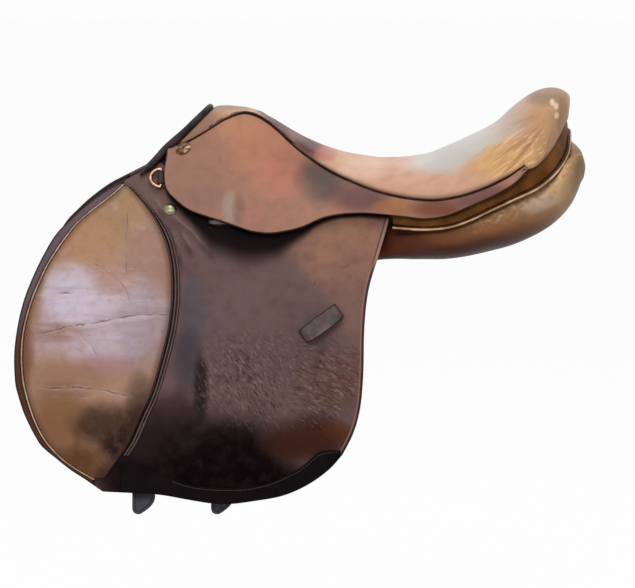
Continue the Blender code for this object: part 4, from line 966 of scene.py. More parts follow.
def seat_finish():
    """Polished tan seat leather: golden at the cantle, with painted shade behind the pommel and a painted
    pale sheen along its top.
    """
    made = Finish("seat leather", Roughness=0.40, Coat_Roughness=0.24, Coat_IOR=1.35,
                  Specular_IOR_Level=0.08)
    wander = made.cloud(16.0, 3.0)
    colour = made.patches(paint(200, 158, 130), SEAT_PATCHES, wander)
    mottle = made.cloud(60.0, 4.0, 0.6)
    colour = made.mix(made.smooth(mottle, 0.35, 0.75) * 0.22, colour, paint(150, 104, 78))
    # Fine light lines that run up to the corner of the cantle
    lines = made.cloud(1.0, 2.0, 0.6, made.stretched(math.radians(-52), (420.0, 160.0, 26.0)))
    fan = made.spot(0.118, 0.126, 0.055, 0.034, wander)
    colour = made.mix(made.smooth(lines, 0.54, 0.66) * fan * 0.55, colour, paint(244, 206, 152))
    colour = made.mix(made.smooth(lines, 0.46, 0.36) * fan * 0.30, colour, paint(150, 104, 62))
    # Painted shade in the folds at the cantle
    crease = made.attribute("crease")
    colour = made.mix(crease * 0.45, colour, paint(128, 84, 54))
    # Painted sheen: a pale reflection where the top turns away
    crown = made.attribute("crown")
    glare = made.smooth(crown + (wander - 0.5) * 0.5, 0.86, 0.62)
    glare = glare * made.smooth(made.x, -0.010, 0.035) * made.smooth(made.x, 0.150, 0.085)
    colour = made.mix(glare * 0.85, colour, paint(188, 188, 182))
    rim = made.attribute("rim")
    # Darker towards the edge, and a thin dark line of painted shade where the seat meets its piping
    colour = made.mix(made.smooth(rim, 0.0070, 0.0010) * 0.40, colour, paint(136, 94, 84))
    colour = made.mix(made.smooth(rim, 0.0016, 0.0004) * 0.70, colour, paint(58, 32, 24))
    # Painted glints: small light spots below the cantle's corner
    for x, z in CANTLE_GLINTS:
        colour = made.mix(made.spot(x, z, 0.0036, 0.0044) * 0.65, colour, paint(246, 222, 190))
    made.feed("Base Color", colour)
    made.feed("Roughness", 0.34 + made.cloud(34.0, 3.0) * 0.18)
    made.feed("Coat Weight", (0.06 + glare * 0.35) * made.smooth(made.x, -0.090, -0.060))
    made.feed("Normal", made.bump(made.cloud(140.0, 3.0), 0.0005, 0.5, made.grain(700.0, 2100.0, 0.00007)))
    return made.material


def skirt_finish():
    """Orange-brown skirt leather with grey and reddish rubbed patches."""
    made = Finish("skirt leather", Roughness=0.45, Coat_Roughness=0.28, Coat_IOR=1.35,
                  Specular_IOR_Level=0.06)
    wander = made.cloud(20.0, 4.0)
    colour = made.patches(paint(160, 116, 98), SKIRT_PATCHES, wander)
    mottle = made.cloud(75.0, 4.0, 0.6)
    colour = made.mix(made.smooth(mottle, 0.40, 0.75) * 0.25, colour, paint(120, 84, 70))
    rim = made.attribute("rim")
    # Painted shade: a dark line along the skirt's edges
    colour = made.mix(made.smooth(rim, 0.0012, 0.0003) * 0.85, colour, paint(40, 24, 20))
    made.feed("Base Color", colour)
    made.feed("Roughness", 0.40 + made.cloud(30.0, 3.0) * 0.20)
    made.feed("Coat Weight", 0.05 + made.smooth(made.cloud(13.0, 2.0), 0.40, 0.7) * 0.10)
    made.feed("Normal", made.bump(made.cloud(120.0, 3.0), 0.0006, 0.5, made.grain(600.0, 1900.0, 0.00008)))
    return made.material


def flap_finish():
    """Dark flap leather: pebbled in the middle, blackened by the stirrup leather, redder behind."""
    made = Finish("flap leather", Roughness=0.5, Coat_Roughness=0.30, Coat_IOR=1.3, Specular_IOR_Level=0.02)
    wander = made.cloud(17.0, 4.0)
    colour = made.patches(paint(104, 82, 80), FLAP_PATCHES, wander)
    mottle = made.cloud(70.0, 4.0, 0.6)
    colour = made.mix(made.smooth(mottle, 0.40, 0.78) * 0.28, colour, paint(58, 42, 40))
    # Short slanting wrinkles in the middle of the flap, with painted highlights on their tops and painted
    # shade in their hollows
    zone = made.spot(-0.130, -0.122, 0.112, 0.060, wander)
    steep = made.cloud(1.0, 3.0, 0.65, made.stretched(math.radians(35), (420.0, 420.0, 120.0)), 0.7)
    flat = made.cloud(1.0, 3.0, 0.65, made.stretched(math.radians(62), (420.0, 420.0, 110.0)), 0.7)
    rearward = made.smooth(made.x, -0.160, -0.090)
    pebble = steep * (1 - rearward) + flat * rearward
    lit = made.smooth(pebble, 0.52, 0.66) * zone
    colour = made.mix(lit * 0.50, colour, paint(156, 128, 116))
    deep = made.smooth(pebble, 0.48, 0.34) * zone
    colour = made.mix(deep * 0.65, colour, paint(34, 22, 24))
    # Cut edge behind: a dark rim with a light line inside it
    rim = made.attribute("rim")
    behind = made.smooth(made.x, -0.120, -0.090)
    low = made.smooth(made.z, 0.010, -0.010)
    cut = made.smooth(rim, 0.0030, 0.0022) * behind
    colour = made.mix(cut * (1 - low) * 0.7, colour, paint(158, 128, 120))
    colour = made.mix(cut * low * 0.9, colour, paint(46, 40, 38))
    line = made.smooth(rim, 0.0026, 0.0034) * made.smooth(rim, 0.0048, 0.0038) * behind
    colour = made.mix(line * low * 0.7, colour, paint(146, 116, 104))
    colour = made.mix(line * (1 - low) * 0.7, colour, paint(54, 40, 38))
    # Creases: painted shade in them, and painted highlights on the lip beside the ones near the nail
    crease = made.attribute("crease")
    gap = made.attribute("gap")
    lip = made.smooth(gap, 0.0012, 0.0026) * made.smooth(gap, 0.0056, 0.0036)
    colour = made.mix(lip * made.smooth(made.x, -0.205, -0.225) * made.smooth(made.z, 0.010, 0.030) * 0.40,
                      colour, paint(140, 112, 102))
    colour = made.mix(crease * 0.75, colour, paint(38, 27, 27))
    # Band in front of the knee pad, with a dark line along each side: painted shade in the groove by the pad,
    # and a dark line at the flap's edge
    outside = made.attribute("front")
    height = made.smooth(made.z, -0.100, -0.020)
    band = made.mix(height, paint(82, 54, 40), paint(100, 84, 88))
    colour = made.mix(made.smooth(outside, 0.0, 0.0010), colour, band)
    groove = made.smooth(outside, -0.0005, 0.0010) * made.smooth(outside, 0.0042, 0.0030)
    colour = made.mix(groove * 0.9, colour, paint(38, 24, 24))
    ahead = made.smooth(outside, 0.0020, 0.0040)
    colour = made.mix(made.smooth(rim, 0.0022, 0.0012) * ahead * 0.85, colour, paint(44, 32, 30))
    # Deep shadow under the skirt
    shade = made.attribute("shade")
    colour = made.mix(shade * 0.96, colour, paint(10, 6, 8))
    made.feed("Base Color", colour)
    black = made.spot(-0.190, -0.220, 0.150, 0.070)
    dark = black + shade
    made.feed("Roughness", 0.46 + made.cloud(40.0, 3.0) * 0.16 + black * 0.15)
    polish = 0.04 + made.smooth(made.cloud(14.0, 2.0), 0.40, 0.7) * 0.08
    made.feed("Coat Weight", polish * made.smooth(dark, 0.8, 0.1))
    fine = made.grain(520.0, 1700.0, 0.00010)
    rough = made.bump(pebble * zone, 0.0034, 0.8, fine)
    made.feed("Normal", made.bump(made.cloud(120.0, 3.0), 0.0005, 0.5, rough))
    return made.material


def pad_finish():
    """Light tan knee pad: worn to a lilac bloom in the middle with painted glare over it, cracked, and dark
    at its foot.
    """
    made = Finish("knee pad leather", Roughness=0.42, Coat_Roughness=0.26, Coat_IOR=1.35,
                  Specular_IOR_Level=0.06)
    wander = made.cloud(22.0, 4.0, 0.6)
    colour = made.patches(paint(168, 132, 110), PAD_PATCHES, wander)
    mottle = made.cloud(85.0, 4.0, 0.65)
    colour = made.mix(made.smooth(mottle, 0.42, 0.74) * 0.28, colour, paint(132, 96, 80))
    blot = made.cloud(38.0, 4.0, 0.7, warp=0.6)
    above = made.smooth(made.z, -0.140, -0.080)
    colour = made.mix(made.smooth(blot, 0.52, 0.74) * above * 0.20, colour, paint(206, 182, 176))
    # Painted glare: lilac-white streaks over the worn middle, with darker streaks between them
    streak = made.cloud(1.0, 3.0, 0.6, made.stretched(0.0, (30.0, 30.0, 150.0)))
    rubbed_and_glare = made.spot(-0.338, -0.048, 0.100, 0.062, wander)
    colour = made.mix(made.smooth(streak, 0.50, 0.74) * rubbed_and_glare * 0.30, colour, paint(214, 202, 212))
    colour = made.mix(made.smooth(streak, 0.48, 0.30) * rubbed_and_glare * 0.30, colour, paint(142, 112, 106))
    # Cracks: a broken dark line of painted shade, with a soft painted highlight on the lip each side
    gap = made.attribute("gap") + (made.cloud(130.0, 4.0, 0.7) - 0.5) * 0.0052
    apart = gap.maths("ABSOLUTE", gap)
    near = made.smooth(made.attribute("crease"), 0.02, 0.40) * made.smooth(made.cloud(75.0, 3.0), 0.32, 0.56)
    colour = made.mix(made.smooth(apart, 0.0036, 0.0016) * near * 0.30, colour, paint(216, 198, 194))
    colour = made.mix(made.smooth(apart, 0.0019, 0.0002) * near * 0.75, colour, paint(84, 64, 62))
    # Orange-brown along the front edge, dark along the rear one
    rim = made.attribute("rim")
    edge = made.mix(made.smooth(made.x, -0.370, -0.310), paint(110, 66, 34), paint(76, 50, 42))
    colour = made.mix(made.smooth(rim, 0.0100, 0.0010) * 0.60, colour, edge)
    colour = made.mix(made.smooth(rim, 0.0020, 0.0004) * 0.85, colour, paint(40, 24, 20))
    made.feed("Base Color", colour)
    made.feed("Roughness", 0.46 + made.cloud(45.0, 3.0) * 0.14 - rubbed_and_glare * 0.14)
    made.feed("Coat Weight", 0.02 + rubbed_and_glare * 0.16)
    made.feed("Normal", made.bump(made.cloud(150.0, 4.0), 0.0007, 0.55, made.grain(560.0, 1800.0, 0.00009)))
    return made.material


def panel_finish():
    """Panel leather: golden tan and puckered beside its seam, dark red-brown in front and below, with painted
    shade on its underside.
    """
    made = Finish("panel leather", Roughness=0.38, Coat_Roughness=0.18, Coat_IOR=1.35,
                  Specular_IOR_Level=0.08)
    wander = made.cloud(19.0, 3.0)
    colour = made.mix(made.smooth(made.z, 0.018, 0.056), paint(92, 42, 20), paint(150, 108, 74))
    colour = made.mix(made.smooth(made.z, 0.050, 0.092), colour, paint(200, 162, 118))
    front = made.smooth(made.x, 0.080, 0.000)
    colour = made.mix(front * 0.85, colour, paint(84, 42, 28))
    colour = made.mix(made.smooth(made.x, -0.030, -0.120), colour, paint(76, 50, 38))
    colour = made.patches(colour, PANEL_PATCHES, wander)
    rear = made.smooth(made.x, 0.170, 0.200)
    colour = made.mix(rear * 0.85, colour, paint(104, 86, 56))
    mottle = made.cloud(70.0, 4.0, 0.6)
    colour = made.mix(made.smooth(mottle, 0.40, 0.74) * 0.25, colour, paint(120, 74, 46))
    # Puckers beside the seam, with painted highlights on their tops and painted shade between them
    seam = made.attribute("seam")
    beside = made.smooth(seam, 0.024, 0.006) * made.smooth(made.x, 0.060, 0.110) * (1 - rear)
    pucker = made.cloud(150.0, 2.0, 0.5, warp=0.4)
    colour = made.mix(made.smooth(pucker, 0.46, 0.70) * beside * 0.45, colour, paint(232, 196, 156))
    colour = made.mix(made.smooth(pucker, 0.46, 0.34) * beside * 0.45, colour, paint(128, 84, 54))
    # Painted shade: a dark line beside the seam
    colour = made.mix(made.smooth(seam, 0.0060, 0.0034) * 0.8, colour, paint(58, 30, 20))
    # Painted shade on the panel's underside
    colour = made.mix(made.attribute("under") * 0.85, colour, paint(50, 26, 24))
    made.feed("Base Color", colour)
    made.feed("Roughness", 0.32 + made.cloud(36.0, 3.0) * 0.16)
    shine = (0.12 + made.smooth(made.cloud(14.0, 2.0), 0.38, 0.7) * 0.14) * (1 - rear)
    made.feed("Coat Weight", shine * made.smooth(made.z, 0.030, 0.075))
    raised = made.bump(pucker * beside, 0.0022, 0.8, made.grain(640.0, 2000.0, 0.00007))
    made.feed("Normal", made.bump(made.cloud(110.0, 4.0), 0.0008, 0.6, raised))
    return made.material


def strip_finish():
    """Strip behind the knee pad: a black groove of painted shade, then two ridges lighter with painted
    highlights.
    """
    made = Finish("strip leather", Roughness=0.46, Specular_IOR_Level=0.05)
    share = made.node("ShaderNodeAttribute", {"attribute_name": "share"}, output="Vector")
    across = made.node("ShaderNodeSeparateXYZ", sockets={0: share}, output="X")
    first, second = across - STRIP_RIDGES[0], across - STRIP_RIDGES[1]
    ridges = made.smooth(first * first, 0.011, 0.001) + made.smooth(second * second, 0.011, 0.001)
    drift = made.smooth(made.cloud(60.0, 4.0, 0.6), 0.36, 0.68)
    colour = made.mix(drift, paint(40, 32, 34), paint(62, 50, 50))
    # Painted highlights on the two ridges
    colour = made.mix(ridges * 0.80, colour, paint(122, 96, 88))
    # Painted shade: the groove beside the pad is near black
    colour = made.mix(made.smooth(across, 0.26, 0.16), colour, paint(12, 7, 8))
    made.feed("Base Color", colour)
    made.feed("Roughness", 0.42 + drift * 0.14)
    made.feed("Normal", made.grain(640.0, 2000.0, 0.00008))
    return made.material


def keeper_finish():
    """Keeper leather, with painted shade as a dark line round its edge and at its darker ends."""
    made = Finish("keeper leather", Roughness=0.46, Specular_IOR_Level=0.05)
    drift = made.smooth(made.cloud(60.0, 4.0, 0.6), 0.36, 0.68)
    colour = made.mix(drift, paint(86, 74, 72), paint(112, 98, 96))
    share = made.node("ShaderNodeAttribute", {"attribute_name": "share"}, output="Vector")
    along = made.node("ShaderNodeSeparateXYZ", sockets={0: share}, output="X") - 0.5
    # Painted shade: darker ends and a dark line round the keeper's edge
    colour = made.mix(made.smooth(along * along, 0.150, 0.235) * 0.55, colour, paint(52, 38, 34))
    colour = made.mix(made.smooth(made.attribute("rim"), 0.0016, 0.0006) * 0.9, colour, paint(32, 22, 20))
    made.feed("Base Color", colour)
    made.feed("Roughness", 0.42 + drift * 0.14)
    made.feed("Normal", made.bump(made.cloud(170.0, 3.0), 0.0004, 0.5, made.grain(640.0, 2000.0, 0.00008)))
    return made.material


def plain_leather(name, low, high, rough, coat):
    """Leather in two shades that drift into each other, with dark specks and pores."""
    made = Finish(name, Coat_Roughness=0.22, Coat_IOR=1.35, Specular_IOR_Level=0.05)
    drift = made.smooth(made.cloud(45.0, 4.0, 0.6), 0.36, 0.68)
    colour = made.mix(drift, paint(*low), paint(*high))
    specks = made.smooth(made.cloud(420.0, 2.0), 0.60, 0.72)
    colour = made.mix(specks * 0.25, colour, paint(*[value * 0.6 for value in low]))
    made.feed("Base Color", colour)
    made.feed("Roughness", rough + made.cloud(60.0, 3.0) * 0.16)
    made.feed("Coat Weight", made.smooth(made.cloud(24.0, 2.0), 0.35, 0.7) * coat)
    made.feed("Normal", made.bump(made.cloud(170.0, 3.0), 0.0004, 0.5, made.grain(640.0, 2000.0, 0.00008)))
    return made.material


def strap_finish():
    """Dark girth strap leather with punched holes painted as near-black spots of shade, and a pressed line
    along each edge.
    """
    made = Finish("strap leather", Coat_Roughness=0.25, Coat_IOR=1.35, Specular_IOR_Level=0.06)
    drift = made.smooth(made.cloud(50.0, 4.0, 0.6), 0.36, 0.68)
    colour = made.mix(drift, paint(50, 48, 55), paint(76, 74, 82))
    hole = made.attribute("hole")
    rim = made.attribute("rim")
    line = made.smooth(rim, 0.0022, 0.0028) * made.smooth(rim, 0.0040, 0.0034)
    colour = made.mix(line * 0.6, colour, paint(24, 22, 26))
    colour = made.mix(made.smooth(rim, 0.0012, 0.0003) * 0.8, colour, paint(18, 16, 18))
    # Painted shade: each punched hole is a near-black spot
    colour = made.mix(made.smooth(hole, 0.45, 0.6), colour, paint(8, 7, 8))
    made.feed("Base Color", colour)
    made.feed("Roughness", 0.38 + made.cloud(60.0, 3.0) * 0.16)
    made.feed("Coat Weight", made.smooth(made.cloud(24.0, 2.0), 0.35, 0.7) * 0.20)
    pressed = 1 - made.smooth(hole, 0.3, 0.7) - line * 0.5
    made.feed("Normal", made.bump(pressed, 0.0010, 0.8, made.grain(560.0, 1800.0, 0.00009)))
    return made.material


def brass_finish(name, low, high, rough, tarnish):
    """Worn brass: two shades that drift into each other, with dull tarnished specks and fine scratches."""
    made = Finish(name, Metallic=1.0)
    drift = made.smooth(made.cloud(260.0, 3.0, 0.6), 0.35, 0.70)
    colour = made.mix(drift, paint(*low), paint(*high))
    dull = made.smooth(made.cloud(620.0, 3.0, 0.6), 0.56, 0.72)
    colour = made.mix(dull * tarnish, colour, paint(86, 72, 44))
    made.feed("Base Color", colour)
    made.feed("Roughness", rough + dull * 0.25)
    scratches = made.cloud(1.0, 2.0, 0.5, made.stretched(0.4, (4200.0, 900.0, 300.0)))
    made.feed("Normal", made.bump(scratches, 0.00006, 0.6))
    return made.material


def steel_finish():
    """Forged steel, painted dark in part for the shade it sits in under the skirt: brushed, with dull specks.
    """
    made = Finish("bar steel", use_rest=False, Metallic=1.0)
    drift = made.smooth(made.cloud(180.0, 3.0, 0.6), 0.35, 0.70)
    made.feed("Base Color", made.mix(drift, paint(70, 68, 68), paint(96, 94, 92)))
    made.feed("Roughness", 0.42 + drift * 0.12)
    brushed = made.cloud(1.0, 2.0, 0.5, made.stretched(0.0, (300.0, 3000.0, 3000.0)))
    made.feed("Normal", made.bump(brushed, 0.00005, 0.6))
    return made.material


def wood_finish():
    """Laminated beech: long grain with thin glue lines and small flecks."""
    made = Finish("tree beech", use_rest=False, Roughness=0.55)
    grain = made.cloud(1.0, 4.0, 0.65, made.stretched(0.0, (40.0, 420.0, 420.0)), 0.4)
    colour = made.mix(made.smooth(grain, 0.35, 0.68), paint(150, 106, 66), paint(204, 164, 116))
    flecks = made.smooth(made.cloud(1.0, 2.0, 0.5, made.stretched(0.0, (220.0, 1800.0, 1800.0))), 0.62, 0.70)
    colour = made.mix(flecks * 0.5, colour, paint(110, 70, 40))
    made.feed("Base Color", colour)
    made.feed("Roughness", 0.48 + grain * 0.2)
    made.feed("Normal", made.bump(grain, 0.0003, 0.6))
    return made.material


def webbing_finish():
    """Woven jute webbing: threads over and under, in natural fawn."""
    made = Finish("tree webbing", Roughness=0.9, Specular_IOR_Level=0.2)
    long = made.node("ShaderNodeTexWave", {"wave_type": "BANDS", "bands_direction": "X"},
                     {"Vector": made.place, "Scale": 160.0, "Distortion": 0.6, "Detail": 1.0})
    cross = made.node("ShaderNodeTexWave", {"wave_type": "BANDS", "bands_direction": "Z"},
                      {"Vector": made.place, "Scale": 160.0, "Distortion": 0.6, "Detail": 1.0})
    weave = long * (1 - cross) + cross * (1 - long)
    colour = made.mix(weave, paint(150, 132, 98), paint(206, 192, 156))
    dirt = made.smooth(made.cloud(70.0), 0.4, 0.7)
    made.feed("Base Color", made.mix(dirt * 0.4, colour, paint(134, 112, 80)))
    made.feed("Normal", made.bump(weave, 0.0008, 0.8))
    return made.material


def foam_finish():
    """Open-celled seat foam."""
    made = Finish("seat foam", Roughness=0.95)
    holes = made.cells(900.0)
    colour = made.mix(made.smooth(holes, 0.0, 0.3), paint(176, 160, 116), paint(232, 220, 178))
    aged = made.smooth(made.cloud(40.0), 0.4, 0.7)
    made.feed("Base Color", made.mix(aged * 0.3, colour, paint(206, 182, 128)))
    made.feed("Normal", made.bump(holes, 0.0010, 0.7))
    return made.material


def thread_finish(name, shade):
    """Waxed linen thread with a twist."""
    made = Finish(name, Roughness=0.55)
    twist = made.cloud(900.0, 2.0)
    made.feed("Base Color", made.mix(twist, paint(*[value * 0.7 for value in shade]), paint(*shade)))
    made.feed("Normal", made.bump(twist, 0.0002, 0.6))
    return made.material


SEAT_SKIN = seat_finish()
SKIRT_SKIN = skirt_finish()
FLAP_SKIN = flap_finish()
PAD_SKIN = pad_finish()
PANEL_SKIN = panel_finish()
STRAP_SKIN = strap_finish()
HEM_SKIN = plain_leather("hem leather", (9, 5, 7), (16, 10, 11), 0.52, 0.0)
EDGE_SKIN = plain_leather("edge leather", (34, 24, 24), (62, 48, 46), 0.42, 0.25)
PIPE_SKIN = plain_leather("seat piping", (36, 20, 16), (58, 34, 26), 0.42, 0.10)
LIGHT_PIPE_SKIN = plain_leather("pad piping", (170, 136, 108), (212, 180, 150), 0.38, 0.20)
FACING_SKIN = plain_leather("facing leather", (84, 50, 20), (112, 70, 34), 0.44, 0.05)
BACK_PIPE_SKIN = plain_leather("panel piping", (176, 128, 92), (228, 182, 142), 0.36, 0.25)
SEAM_SKIN = plain_leather("seam leather", (46, 24, 16), (74, 44, 30), 0.44, 0.10)
KEEPER_SKIN = keeper_finish()
STRIP_SKIN = strip_finish()
UNDER_SKIN = plain_leather("under flap leather", (104, 74, 56), (124, 90, 68), 0.44, 0.12)
CHAPE_SKIN = plain_leather("chape leather", (62, 48, 44), (92, 74, 66), 0.44, 0.10)
NAIL_BRASS = brass_finish("nail brass", (108, 104, 80), (154, 150, 118), 0.34, 0.5)
STUD_BRASS = brass_finish("stud brass", (84, 60, 46), (160, 128, 98), 0.30, 0.6)
DEE_BRASS = brass_finish("dee brass", (152, 110, 90), (196, 154, 132), 0.28, 0.4)
STEEL = steel_finish()
BEECH = wood_finish()
WEBBING = webbing_finish()
FOAM = foam_finish()
DARK_THREAD = thread_finish("dark thread", (82, 64, 58))
PALE_THREAD = thread_finish("pale thread", (136, 110, 100))


# Seat

def hoop_point(seam, spine, share):
    """Point of the seat between its seam and the spine above it; share runs from -1 to 1 across it."""
    rise = max(1 - abs(share) ** SEAT_ROUNDNESS, 0.0) ** (1 / SEAT_CROWN)
    x, z = seam[0] + (spine[0] - seam[0]) * rise, seam[2] + (spine[1] - seam[2]) * rise
    return Vector((x, seam[1] * share, z))


def seat_surface():
    """The seat's outer face as a function of two shares: along the saddle and across it."""
    seams = Route([seam for seam, _ in SEAT_HOOPS])
    spines = Route([spine for _, spine in SEAT_HOOPS])
    steps = len(SEAT_HOOPS) - 1

    def place(u, v):
        spot = u * steps * Route.STEPS
        low = min(int(spot + 1e-6), len(seams.samples) - 2)
        seam = seams.samples[low].lerp(seams.samples[low + 1], spot - low)
        spine = spines.samples[low].lerp(spines.samples[low + 1], spot - low)
        return hoop_point(seam, (spine.x, spine.z), math.sin((v - 0.5) * math.pi))

    return place


def cantle_folds(point):
    """Fine folds that fan out forwards from the corner of the cantle."""
    away = Vector((CANTLE_CORNER[0] - point.x, point.z - CANTLE_CORNER[1]))
    turn = math.atan2(-away.y, max(away.x, 1e-4))
    start, stop = ease(away.length, 0.010, 0.040), ease(away.length, 0.105, 0.055)
    return start * stop * ease(abs(point.y), 0.060, 0.095) * noise.noise(Vector((turn * 16.0, 1.7, 0.0)))


def make_seat():
    """Seat cover, drawn tight over its foam."""
    bm = laid(*SEAT_GRID, seat_surface())
    face_out(bm, Vector((0, 0, 1)))
    mark_rim(bm)
    rim = bm.verts.layers.float["rim"]
    crease = bm.verts.layers.float.new("crease")
    crown = bm.verts.layers.float.new("crown")
    share = bm.verts.layers.float_vector["share"]
    for vert in bm.verts:
        vert[crease] = max(-cantle_folds(vert.co) * 1.6, 0.0)
        vert[crown] = abs(math.sin((vert[share][1] - 0.5) * math.pi))
    gathers = {vert: 0.0004 * noise.noise(vert.co * 55) + 0.0004 * cantle_folds(vert.co)
               - 0.0010 * ease(vert[rim], 0.0045, 0.0) for vert in bm.verts}
    for vert, height in gathers.items():
        vert.co += vert.normal * height
    seat = thicken(piece_from(bm, "seat", SEAT_SKIN), SEAT_LEATHER, CUT_EDGE)
    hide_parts("seat_cover")
    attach(seat, "tree")


def make_seat_foam():
    """Shaped foam under the seat cover."""
    whole = seat_surface()
    hoops = len(SEAT_HOOPS) - 1
    first, last = FOAM_FIRST_HOOP / hoops, FOAM_LAST_HOOP / hoops

    def place(u, v):
        return whole(first + (last - first) * u, FOAM_MARGIN + (1 - 2 * FOAM_MARGIN) * v)

    bm = laid(*FOAM_GRID, place)
    face_out(bm, Vector((0, 0, 1)))
    push(bm, lambda u, v, point: -FOAM_DEPTH + 0.0005 * noise.noise(point * 60))
    foam = thicken(piece_from(bm, "seat_padding", FOAM), FOAM_THICKNESS, FOAM_CUT_EDGE)
    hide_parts("seat_foam")
    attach(foam, "tree")


def make_seat_welt(side, word):
    """Piping in the seam between the seat and the skirt, as far as the end of the skirt's tail."""
    out = Vector((0.0, SEAT_PIPE_RADIUS + 3 * TOUCH, -SEAT_PIPE_RADIUS * 0.7))
    route = Route([on_side(side, Vector(point) + out) for point in SEAT_WELT])
    welt = cord_along(word + "_seat_piping", route, SEAT_PIPE_RADIUS, PIPE_SKIN,
                      swell=lambda u: 1 + 0.05 * noise.noise(Vector((u * 70, 0.0, 0.0))))
    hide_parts(word + "_seat_welt")
    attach(welt, "tree")


def make_pommel_facing():
    """Dark roll that finishes the front of the pommel and runs down to the flaps."""
    seam, spine = SEAT_HOOPS[0]
    off = Vector((-(FACING_PIPE_RADIUS + 0.0006), 0.0, -FACING_PIPE_RADIUS * 0.2))
    arch = [hoop_point(seam, spine, math.sin(math.radians(angle))) + off for angle in range(-72, 73, 12)]
    low = [Vector((x, layer(z, -(FACING_PIPE_RADIUS + 2 * TOUCH)), z)) for x, z in FACING_LEGS]
    line = [on_side(NEAR, point) for point in low] + arch + [on_side(OFF, point) for point in reversed(low)]
    roll = cord_along("pommel_roll", Route(line), FACING_PIPE_RADIUS, EDGE_SKIN, around=16,
                      swell=lambda u: 1.06 - 0.55 * ease(abs(u - 0.5), 0.42, 0.5))
    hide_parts("pommel_facing")
    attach(roll, "tree")


def round_back(points):
    """Carry a near-side line round the back of the cantle to the off side."""
    near = [on_side(NEAR, point) for point in points]
    return near + [on_side(OFF, point) for point in reversed(points[:-1])]


def make_cantle_facing():
    """Band of leather under the seat's edge, from one side round the back to the other."""
    seams = [Vector(point) for point in PANEL_SEAM]
    tops = []
    for point in FACING_TOP:
        # The band reaches higher under the seat round the back
        behind = ease(point[0], 0.150, 0.170)
        tops.append(Vector(point) + Vector((-0.0010 * behind, -0.0012, 0.0036 + 0.0030 * behind)))
    lows = [seam + (top - seam).normalized() * (PANEL_PIPE_RADIUS + 0.0010) for seam, top in zip(seams, tops)]
    low, top = Route(round_back(lows)), Route(round_back(tops))
    bm = laid(*FACING_GRID, lambda u, v: low.at(u).lerp(top.at(u), v))
    middle = Vector((0.0, 0.0, 0.08))
    face_out(bm, lambda point: point - middle)
    push(bm, lambda u, v, point: 0.0010 * math.sin(math.pi * v) + 0.0004 * noise.noise(point * 90))
    band = thicken(piece_from(bm, "cantle_band", FACING_SKIN), FACING_LEATHER, FACING_CUT_EDGE)
    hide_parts("cantle_facing")
    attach(band, "tree")


def make_panel_welt():
    """Piping between the cantle facing and the panels, with a light bead along its outer face."""
    line = round_back([Vector(point) for point in PANEL_SEAM])
    welt = cord_along("panel_piping", Route(line), PANEL_PIPE_RADIUS, SEAM_SKIN, around=14)
    outward = [Vector((max(point.x, 0.0), point.y, 0.0)).normalized() for point in line]
    proud = [point + out * PANEL_BEAD_STAND for point, out in zip(line, outward)]
    bead = cord_along("panel_piping_bead", Route(proud), PANEL_BEAD_RADIUS, BACK_PIPE_SKIN, around=10,
                      swell=lambda u: 0.94 + 0.08 * noise.noise(Vector((u * 160, 5.0, 0.0))))
    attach(bead, "tree")
    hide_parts("panel_welt")
    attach(welt, "tree")


# Skirts

def skirt_surface(side):
    """The skirt's outer face, from the seat seam (v = 1) to its lower edge (v = 0)."""
    down = Vector((0.0, SKIRT_OUTSET, -SKIRT_DROP))
    top = Route([Vector(point) + down for point in (SKIRT_FRONT_TOP,) + SEAT_WELT])
    front = [(x, flap_half_width(z) + SKIRT_STAND, z) for x, z in SKIRT_EDGE_FRONT]
    low = Route(front + list(SKIRT_EDGE_TAIL))

    def place(u, v):
        point = low.at(u).lerp(top.at(u), v)
        point.x += SKIRT_TIP_ROUND * (1 - (2 * v - 1) ** 2) * ease(u, 0.975, 1.0)
        return on_side(side, point)

    return place


def skirt_swell(u, v, point):
    """The skirt's soft forms: full over the stirrup bar, with a shallow dent behind it."""
    bar, dent = [math.exp(-((point.x - x) / reach_x) ** 2 - ((point.z - z) / reach_z) ** 2)
                 for x, z, reach_x, reach_z in (SKIRT_BULGE, SKIRT_DENT)]
    full = math.sin(math.pi * min(v * 1.05, 1.0)) ** 0.7
    return 0.0016 * full + 0.0016 * bar - 0.0014 * dent + 0.0005 * noise.noise(point * 45)


def make_skirt(side, word):
    """Skirt over the stirrup bar in one piece: it bends where its lobe lifts."""
    bm = laid(*SKIRT_GRID, skirt_surface(side))
    face_out(bm, Vector((0, side, 0)))
    mark_rim(bm)
    push(bm, skirt_swell)
    skirt = thicken(piece_from(bm, word + "_skirt_leather", SKIRT_SKIN), SKIRT_LEATHER, SKIRT_CUT_EDGE)
    ends = [on_side(side, (x, flap_half_width(z) + SKIRT_STAND, z))
            for x, z in (SKIRT_HINGE_FRONT, SKIRT_HINGE_REAR)]
    down = (ends[1] - ends[0]).normalized().cross(flap_normal(side, (ends[0].z + ends[1].z) / 2))
    down = -down if down.z > 0 else down
    middle = (ends[0] + ends[1]) / 2
    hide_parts(word + "_skirt_top", word + "_skirt")
    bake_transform(skirt, "tree", word + "_skirt", middle - down * SKIRT_BEND, middle + down * SKIRT_BEND)


# Flaps

def flap_plan():
    return coons(Route(FLAP_FRONT), Route(FLAP_REAR), Route(FLAP_TOP), Route(FLAP_BOTTOM))


def flap_rise(x, z):
    """Height of the flap's folds and soft hollows above its smooth outer face."""
    hollow = 0.0012 * noise.noise(Vector((x * 14, 0.0, z * 14)))
    quiet = ease(z, 0.095, 0.075)
    return (hollow - crease_depth(FLAP_CREASES, x, z)) * quiet - 0.0002


